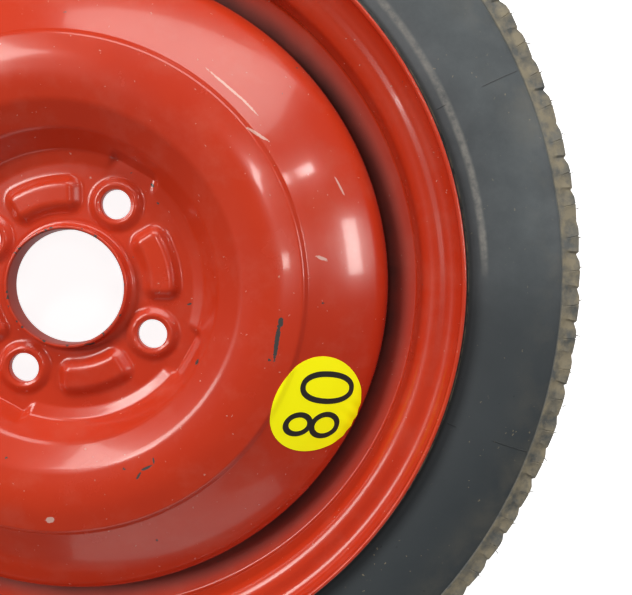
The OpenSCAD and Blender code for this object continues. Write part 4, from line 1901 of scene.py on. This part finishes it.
@dataclass
class SnapInValve:
    """The snap-in valve's outer pieces: rubber body, brass stem with its thread, and ribbed cap."""

    place: Matrix
    rim_sheet: float = 2.3
    top: float = 34.3
    rubber_top: float = 23.8
    head_radius: float = 7.0
    hole_radius: float = 5.65
    stem_radius: float = 3.0
    stem_bottom: float = -12.0
    bore_radius: float = 1.95
    mouth_radius: float = 2.65
    mouth_depth: float = 9.5
    mouth_end: float = 10.7
    thread_radius: float = 3.85
    thread_pitch: float = 0.79
    thread_crest: float = 0.12
    thread_depth: float = 0.42
    thread_gap: float = 1.4
    cap_radius: float = 4.9
    cap_bore: float = 4.15
    cap_gap: float = 1.0
    cap_top: float = 3.0
    cap_ceiling: float = 1.3
    rib_count: int = 14
    rib_gap_half: float = 0.56
    rib_depth: float = 0.35
    rib_start: float = 1.0
    rib_fade: float = 0.8
    round_steps: int = 64
    cap_steps: int = 112

    def finished(
        self, piece: bpy.types.Object, finish: Finish, body: str, node: str,
    ) -> bpy.types.Object:
        """Moves a piece to the valve's axis, dresses it and lets it stand for its node.

        Args:
            piece: The piece.
            finish: Its finish.
            body: The body that it rides.
            node: The CAD node that it stands for.

        Returns:
            The same piece.
        """
        MeshBench.applied(piece, self.place)
        MeshBench.smooth(piece)
        finish.dress(piece)
        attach(piece, body)
        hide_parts(node)
        return piece

    def rubber(self, finish: Finish) -> bpy.types.Object:
        """Builds the rubber body, snapped into the rim's hole.

        Args:
            finish: Its finish.

        Returns:
            The new piece.
        """
        head, hole, sheet = self.head_radius, self.hole_radius, self.rim_sheet
        outline = rounded([
            Corner(self.stem_radius, -11.0), Corner(5.6, -11.0, 0.3), Corner(6.2, -10.0, 0.6),
            Corner(head, -2.2, 1.0), Corner(head, -0.8, 0.4), Corner(head - 0.8, 0.0, 0.3),
            Corner(hole, 0.0), Corner(hole, sheet), Corner(6.2, sheet, 0.2),
            Corner(6.8, sheet + 0.8, 0.5), Corner(6.5, sheet + 4.0, 3.0),
            Corner(6.0, sheet + 9.0, 12.0), Corner(5.0, self.rubber_top - 4.0, 6.0),
            Corner(4.7, self.rubber_top - 0.6, 0.4), Corner(4.2, self.rubber_top, 0.2),
            Corner(self.stem_radius, self.rubber_top),
        ], 12.0)
        piece = MeshBench.spun("valve_rubber_body", outline, self.round_steps)
        return self.finished(piece, finish, BODY_WHEEL, "valve_body")

    def stem(self, finish: Finish) -> bpy.types.Object:
        """Builds the brass stem with its thread.

        Args:
            finish: Its finish.

        Returns:
            The new piece.
        """
        thread = []
        height = self.rubber_top + self.cap_gap
        while height < self.top - self.thread_gap:
            thread.append([self.thread_radius, height])
            thread.append([self.thread_radius, height + self.thread_crest])
            thread.append([self.thread_radius - self.thread_depth, height + self.thread_pitch / 2])
            height += self.thread_pitch
        outline = np.array([
            [self.bore_radius, self.stem_bottom], [self.stem_radius, self.stem_bottom],
            [self.stem_radius, self.rubber_top], [self.thread_radius - 0.4, self.rubber_top],
            *thread, [self.thread_radius, self.top - 0.6], [self.thread_radius - 0.6, self.top],
            [self.mouth_radius, self.top], [self.mouth_radius, self.top - self.mouth_depth],
            [self.bore_radius, self.top - self.mouth_end],
        ])
        piece = MeshBench.spun("valve_brass_stem", outline, self.round_steps)
        return self.finished(piece, finish, BODY_WHEEL, "valve_stem")

    def cap(self, finish: Finish) -> bpy.types.Object:
        """Builds the ribbed cap.

        Args:
            finish: Its finish.

        Returns:
            The new piece.
        """
        low, high = self.rubber_top + self.cap_gap, self.top + self.cap_top
        ceiling = self.top + self.cap_ceiling
        outline = rounded([
            Corner(0.0, high), Corner(self.cap_radius - 1.0, high, 0.5),
            Corner(self.cap_radius, high - 1.0, 0.6), Corner(self.cap_radius, low, 0.2),
            Corner(self.cap_bore, low, 0.1), Corner(self.cap_bore, ceiling), Corner(0.0, ceiling),
        ], 15.0)
        outline = filled(outline, 0.9)
        piece = MeshBench.spun("valve_ribbed_cap", outline, self.cap_steps, closed=False)
        places = MeshBench.places(piece)
        radius = np.hypot(places[:, 0], places[:, 1])
        angle = np.arctan2(places[:, 1], places[:, 0])
        pitch = math.tau / self.rib_count
        aside = np.abs((angle + pitch / 2) % pitch - pitch / 2) * self.cap_radius
        groove = np.clip(1 - (aside / self.rib_gap_half) ** 2, 0, 1) * self.rib_depth
        outer = (radius > self.cap_radius - 0.5) & (places[:, 2] > low + self.rib_start)
        reach = np.where(outer, np.clip((places[:, 2] - low - self.rib_start) / self.rib_fade, 0, 1), 0.0)
        scale = 1 - groove * reach / np.maximum(radius, 0.1)
        places[:, :2] *= scale[:, None]
        MeshBench.move_to(piece, places)
        return self.finished(piece, finish, BODY_CAP, "valve_cap")


@dataclass
class SpeedLabel:
    """The round label on the dome, with its two plain figures."""

    disc: WheelDisc
    diameter: float = 53.4
    centre: float = 145.6
    turn: float = -25.3
    text_turn: float = 14.0
    lift: float = 0.06
    film: float = 0.22
    ring_count: int = 28
    film_steps: int = 96
    line_spacing: float = 0.4
    dome_limit: float = 168.0
    wrinkle_start: float = 12.0
    wrinkle_reach: float = 12.0
    wrinkle_lift: float = 0.45
    wrinkle_sway: float = 0.35
    wrinkle_half: float = 26.0
    figure_height: float = 32.8
    figure_thickness: float = 0.06
    figure_steps: int = 72
    stroke: float = 3.1
    eight_middle: float = -1.0
    eight_aside: float = -10.7
    # The loop is drawn at this radius first and then pulled into its own shape.
    loop_radius: ClassVar[float] = 5.0

    def on_surface(self, u: np.ndarray, v: np.ndarray, height: np.ndarray) -> np.ndarray:
        """Lays flat label coordinates on the disc's face.

        Args:
            u: Distance from the label's middle away from the hub, in millimetres.
            v: Distance from the label's middle round the wheel, in millimetres.
            height: Height above the paint, in millimetres.

        Returns:
            The places in millimetres.
        """
        line = self.disc.line[self.disc.line[:, 0] > self.disc.crest_radius]
        line = filled(line, self.line_spacing)
        lengths = np.concatenate([[0], np.cumsum(np.linalg.norm(np.diff(line, axis=0), axis=1))])
        on_dome = np.argmax(line[:, 0] > self.dome_limit)
        start = np.interp(self.centre, line[:on_dome, 0], lengths[:on_dome])
        along = start + u
        r = np.interp(along, lengths, line[:, 0])
        z = np.interp(along, lengths, line[:, 1])
        ahead, behind = along + 0.5, along - 0.5
        ahead_r = np.interp(ahead, lengths, line[:, 0]) - np.interp(behind, lengths, line[:, 0])
        ahead_z = np.interp(ahead, lengths, line[:, 1]) - np.interp(behind, lengths, line[:, 1])
        size = np.hypot(ahead_r, ahead_z)
        r = r - ahead_z / size * height
        z = z + ahead_r / size * height
        angle = math.radians(self.turn) + v / r
        return np.stack([r * np.cos(angle), r * np.sin(angle), z], 1)

    def wrinkle(self, u: np.ndarray, v: np.ndarray) -> np.ndarray:
        """Works out how far the film stands off where it bends over the shoulder.

        Args:
            u: Distance from the label's middle away from the hub.
            v: Distance from the label's middle round the wheel.

        Returns:
            The height of the film over the paint.
        """
        edge = np.clip((u - self.wrinkle_start) / self.wrinkle_reach, 0, 1)
        lift = self.wrinkle_lift + self.wrinkle_sway * np.sin(v * 0.9 + u * 0.25)
        return edge * lift * np.clip(1 - np.abs(v) / self.wrinkle_half, 0, 1)

    def lay(self, piece: bpy.types.Object, height: float) -> None:
        """Lays a flat piece, drawn in label coordinates, on the disc.

        Args:
            piece: The piece.
            height: How far it lies over the paint.
        """
        flat = MeshBench.places(piece)
        u, v = flat[:, 0], flat[:, 1]
        MeshBench.move_to(piece, self.on_surface(u, v, height + flat[:, 2] + self.wrinkle(u, v)))

    def film_piece(self, finish: Finish) -> bpy.types.Object:
        """Builds the film.

        Args:
            finish: Its finish.

        Returns:
            The new piece.
        """
        rings = np.linspace(0.0, self.diameter / 2, self.ring_count)
        top = np.stack([rings, np.full_like(rings, self.film)], 1)
        bottom = np.array([[self.diameter / 2, 0.0], [0.0, 0.0]])
        outline = np.vstack([top, filled(bottom, 1.5)])
        piece = MeshBench.spun("label_film", outline, self.film_steps, closed=False)
        self.lay(piece, self.lift)
        MeshBench.smooth(piece)
        finish.dress(piece)
        return piece

    def ring(
        self, long_half: float, wide_half: float, middle: tuple[float, float], power: float,
    ) -> bpy.types.Object:
        """Draws one loop of a figure as a flat band with a little thickness.

        Args:
            long_half: Half the loop's length.
            wide_half: Half the loop's width.
            middle: The loop's middle, in label coordinates.
            power: The loop's roundness: 1 for an ellipse and less for fuller corners.

        Returns:
            The new piece.
        """
        half, thick = self.stroke / 2, self.figure_thickness
        inside, outside = self.loop_radius - half, self.loop_radius + half
        outline = np.array([[inside, 0.0], [outside, 0.0], [outside, thick], [inside, thick]])
        piece = MeshBench.spun("figure_loop", outline, self.figure_steps)
        places = MeshBench.places(piece)
        angle = np.arctan2(places[:, 1], places[:, 0])
        off = np.hypot(places[:, 0], places[:, 1]) - self.loop_radius
        cos, sin = np.cos(angle), np.sin(angle)
        x = (long_half - half) * np.sign(cos) * np.abs(cos) ** power
        y = (wide_half - half) * np.sign(sin) * np.abs(sin) ** power
        normal_x, normal_y = cos * (wide_half - half), sin * (long_half - half)
        size = np.hypot(normal_x, normal_y)
        x = x + off * normal_x / size + middle[0]
        y = y + off * normal_y / size + middle[1]
        turn = math.radians(self.text_turn)
        places[:, 0] = x * math.cos(turn) - y * math.sin(turn)
        places[:, 1] = x * math.sin(turn) + y * math.cos(turn)
        MeshBench.move_to(piece, places)
        return piece

    def figures(self, finish: Finish) -> bpy.types.Object:
        """Builds the plain figures eight and nought.

        Args:
            finish: Their ink.

        Returns:
            The new piece.
        """
        tall = self.figure_height / 2
        middle, aside = self.eight_middle, self.eight_aside
        # The nought comes first, then the eight's small loop and its large one.
        loops = [
            self.ring(tall, 8.9, (3.2, 10.4), 0.9),
            self.ring(tall * 0.50, 7.1, (middle - tall * 0.50, aside), 1.0),
            self.ring(tall * 0.55, 7.9, (middle + tall * 0.45, aside), 1.0),
        ]
        for loop in loops:
            self.lay(loop, self.lift + self.film)
        piece = MeshBench.joined(loops, "label_figures")
        MeshBench.smooth(piece)
        finish.dress(piece)
        return piece

    def made(self, film: Finish, ink: Finish) -> None:
        """Builds the label with its figures.

        Args:
            film: The film's finish.
            ink: The figures' ink.
        """
        base = self.film_piece(film)
        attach(base, BODY_WHEEL)
        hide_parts("speed_label")
        marks = self.figures(ink)
        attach(marks, BODY_WHEEL)


@dataclass(frozen=True)
class Lamp:
    """A flat lamp that faces the wheel's seen side.

    Its turn round the axis and its height over the floor are in degrees, its distance, width and
    length in metres and its power in watts.
    """

    name: str
    turn: float
    height: float
    far: float
    width: float
    length: float
    power: float


@dataclass
class Studio:
    """The floor, the lights and the camera."""

    floor_height: float = -0.1087
    floor_size: float = 12.0
    floor_colour: Colour = (0.80, 0.80, 0.80, 1.0)
    floor_roughness: float = 0.8
    floor_glow: float = 0.92
    lamps: tuple[Lamp, ...] = (
        Lamp("top_window", 84.0, 28.0, 1.5, 1.5, 0.6, 14.0),
        Lamp("window_left", 150.0, 41.0, 1.5, 0.9, 0.40, 11.5),
        Lamp("glare_left", 156.0, 50.0, 1.5, 0.26, 0.15, 2.2),
        Lamp("window_right", 9.5, 27.0, 1.2, 0.32, 0.12, 2.9),
        Lamp("window_far", 37.0, 33.0, 1.2, 0.06, 0.07, 0.6),
        Lamp("ceiling", 60.0, 68.0, 1.3, 0.08, 0.16, 1.2),
        Lamp("ceiling_right", 8.5, 72.0, 1.3, 0.07, 0.12, 0.8),
        Lamp("front_screen", -88.0, 16.0, 1.5, 1.3, 0.4, 1.6),
    )
    lamp_aim: Triple = (0.12, 0.0, 0.0)
    lamp_colour: Triple = (1.0, 0.965, 0.925)
    world_colour: Colour = (0.95, 0.96, 1.0, 1.0)
    world_strength: float = 0.10
    sensor_width: float = 36.0
    nearest: float = 0.01
    lens: float = 34.41
    camera_place: Triple = (0.12636, 0.01522, 0.32533)
    camera_turn: Triple = (-3.750, -0.689, 0.045)

    def floor(self) -> None:
        """Lays the pale floor, which the camera and the gloss see as white while it keeps the shadow."""
        bpy.ops.object.select_all(action="DESELECT")
        bpy.ops.mesh.primitive_plane_add(size=self.floor_size, location=(0, 0, self.floor_height))
        plane = bpy.context.active_object
        plane.name = "floor"
        material = bpy.data.materials.new("floor_white")
        material.use_nodes = True
        shader = Shader(material.node_tree)
        body = material.node_tree.nodes["Principled BSDF"]
        body.inputs["Base Color"].default_value = self.floor_colour
        body.inputs["Roughness"].default_value = self.floor_roughness
        body.inputs["Emission Color"].default_value = (1.0, 1.0, 1.0, 1.0)
        path = shader.node("ShaderNodeLightPath")
        seen = shader.maths("MAXIMUM", path.outputs["Is Camera Ray"], path.outputs["Is Glossy Ray"])
        seen = shader.maths("MAXIMUM", seen, path.outputs["Is Transmission Ray"])
        shader.link(shader.product(seen, self.floor_glow), body.inputs["Emission Strength"])
        plane.data.materials.append(material)

    def hang(self, lamp: Lamp) -> None:
        """Hangs a lamp.

        Args:
            lamp: The lamp.
        """
        turn, height = math.radians(lamp.turn), math.radians(lamp.height)
        level = math.cos(height)
        away = Vector((math.cos(turn) * level, math.sin(turn) * level, math.sin(height)))
        data = bpy.data.lights.new(lamp.name, "AREA")
        data.shape = "RECTANGLE"
        data.size, data.size_y = lamp.width, lamp.length
        data.energy = lamp.power
        data.color = self.lamp_colour
        hung = bpy.data.objects.new(lamp.name, data)
        bpy.context.scene.collection.objects.link(hung)
        hung.location = Vector(self.lamp_aim) + away * lamp.far
        hung.rotation_euler = (-away).to_track_quat("-Z", "Y").to_euler()

    def light(self) -> None:
        """Sets the lamps and the world."""
        for lamp in self.lamps:
            self.hang(lamp)
        world = bpy.data.worlds.new("studio")
        bpy.context.scene.world = world
        world.use_nodes = True
        background = world.node_tree.nodes["Background"]
        background.inputs["Color"].default_value = self.world_colour
        background.inputs["Strength"].default_value = self.world_strength

    def camera(self) -> None:
        """Places the camera where the photograph was taken from."""
        data = bpy.data.cameras.new("camera")
        data.sensor_fit = "HORIZONTAL"
        data.sensor_width = self.sensor_width
        data.lens = self.lens
        data.clip_start = self.nearest
        camera = bpy.data.objects.new("camera", data)
        bpy.context.scene.collection.objects.link(camera)
        camera.location = self.camera_place
        camera.rotation_euler = tuple(math.radians(angle) for angle in self.camera_turn)
        bpy.context.scene.camera = camera
        bpy.context.scene.view_settings.view_transform = "Standard"


def dress_cad_nodes(finishes: dict[str, Finish]) -> None:
    """Gives each CAD node that stays visible a finish of its own."""
    for name, finish in finishes.items():
        finish.dress(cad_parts[name])


def timed(name: str, work: Callable[[], object]) -> None:
    """Runs one piece's making and reports it.

    Args:
        name: What is made.
        work: The call that makes it.
    """
    start = time.monotonic()
    work()
    log.info("made %s in %.1f s", name, time.monotonic() - start)


def main() -> None:
    """Builds the wheel and its studio."""
    studio = Studio()
    timed("camera", studio.camera)
    paint = WheelPaint().made()
    rubber = TyreRubber().made()
    yellow = (0.97, 0.94, 0.0, 1.0)
    # The yellow film has a painted glow that brightens it.
    film = PlainFinish(Slot.LABEL, "yellow_film", yellow, 0.30, variation=0.03, painted_glow=0.22).made()
    ink = PlainFinish(Slot.LABEL, "black_ink", (0.022, 0.022, 0.018, 1.0), 0.42).made()
    soft = PlainFinish(Slot.VALVE_RUBBER, "valve_rubber_black", (0.022, 0.022, 0.022, 1.0), 0.55).made()
    brass = PlainFinish(Slot.BRASS, "bright_brass", (0.72, 0.50, 0.20, 1.0), 0.28, 1.0).made()
    steel = PlainFinish(Slot.SPRING, "spring_wire", (0.55, 0.55, 0.56, 1.0), 0.3, 1.0).made()
    white = PlainFinish(Slot.GASKET, "gasket_ring", (0.8, 0.78, 0.74, 1.0), 0.5).made()
    cap = PlainFinish(Slot.CAP, "cap_moulding", (0.03, 0.03, 0.03, 1.0), 0.45).made()
    disc = WheelDisc()
    rim = RolledRim()
    timed("disc", lambda: disc.made(paint))
    timed("rim", lambda: rim.made(paint))
    timed("tyre", lambda: NarrowTyre().made(rubber))
    timed("whiskers", lambda: MouldingWhiskers().made(rubber))
    timed("weld beads", lambda: WeldBeads().made(paint))
    timed("label", lambda: SpeedLabel(disc).made(film, ink))
    valve = SnapInValve(rim.valve_place())
    timed("valve rubber", lambda: valve.rubber(soft))
    timed("valve stem", lambda: valve.stem(brass))
    timed("valve cap", lambda: valve.cap(cap))
    dress_cad_nodes({
        "core_plug": brass, "core_gasket": white, "core_pin": brass, "core_seal": soft, "core_spring": steel,
        "cap_seal": soft,
    })
    timed("floor", studio.floor)
    timed("lights", studio.light)


if __name__ == "__main__":
    main()
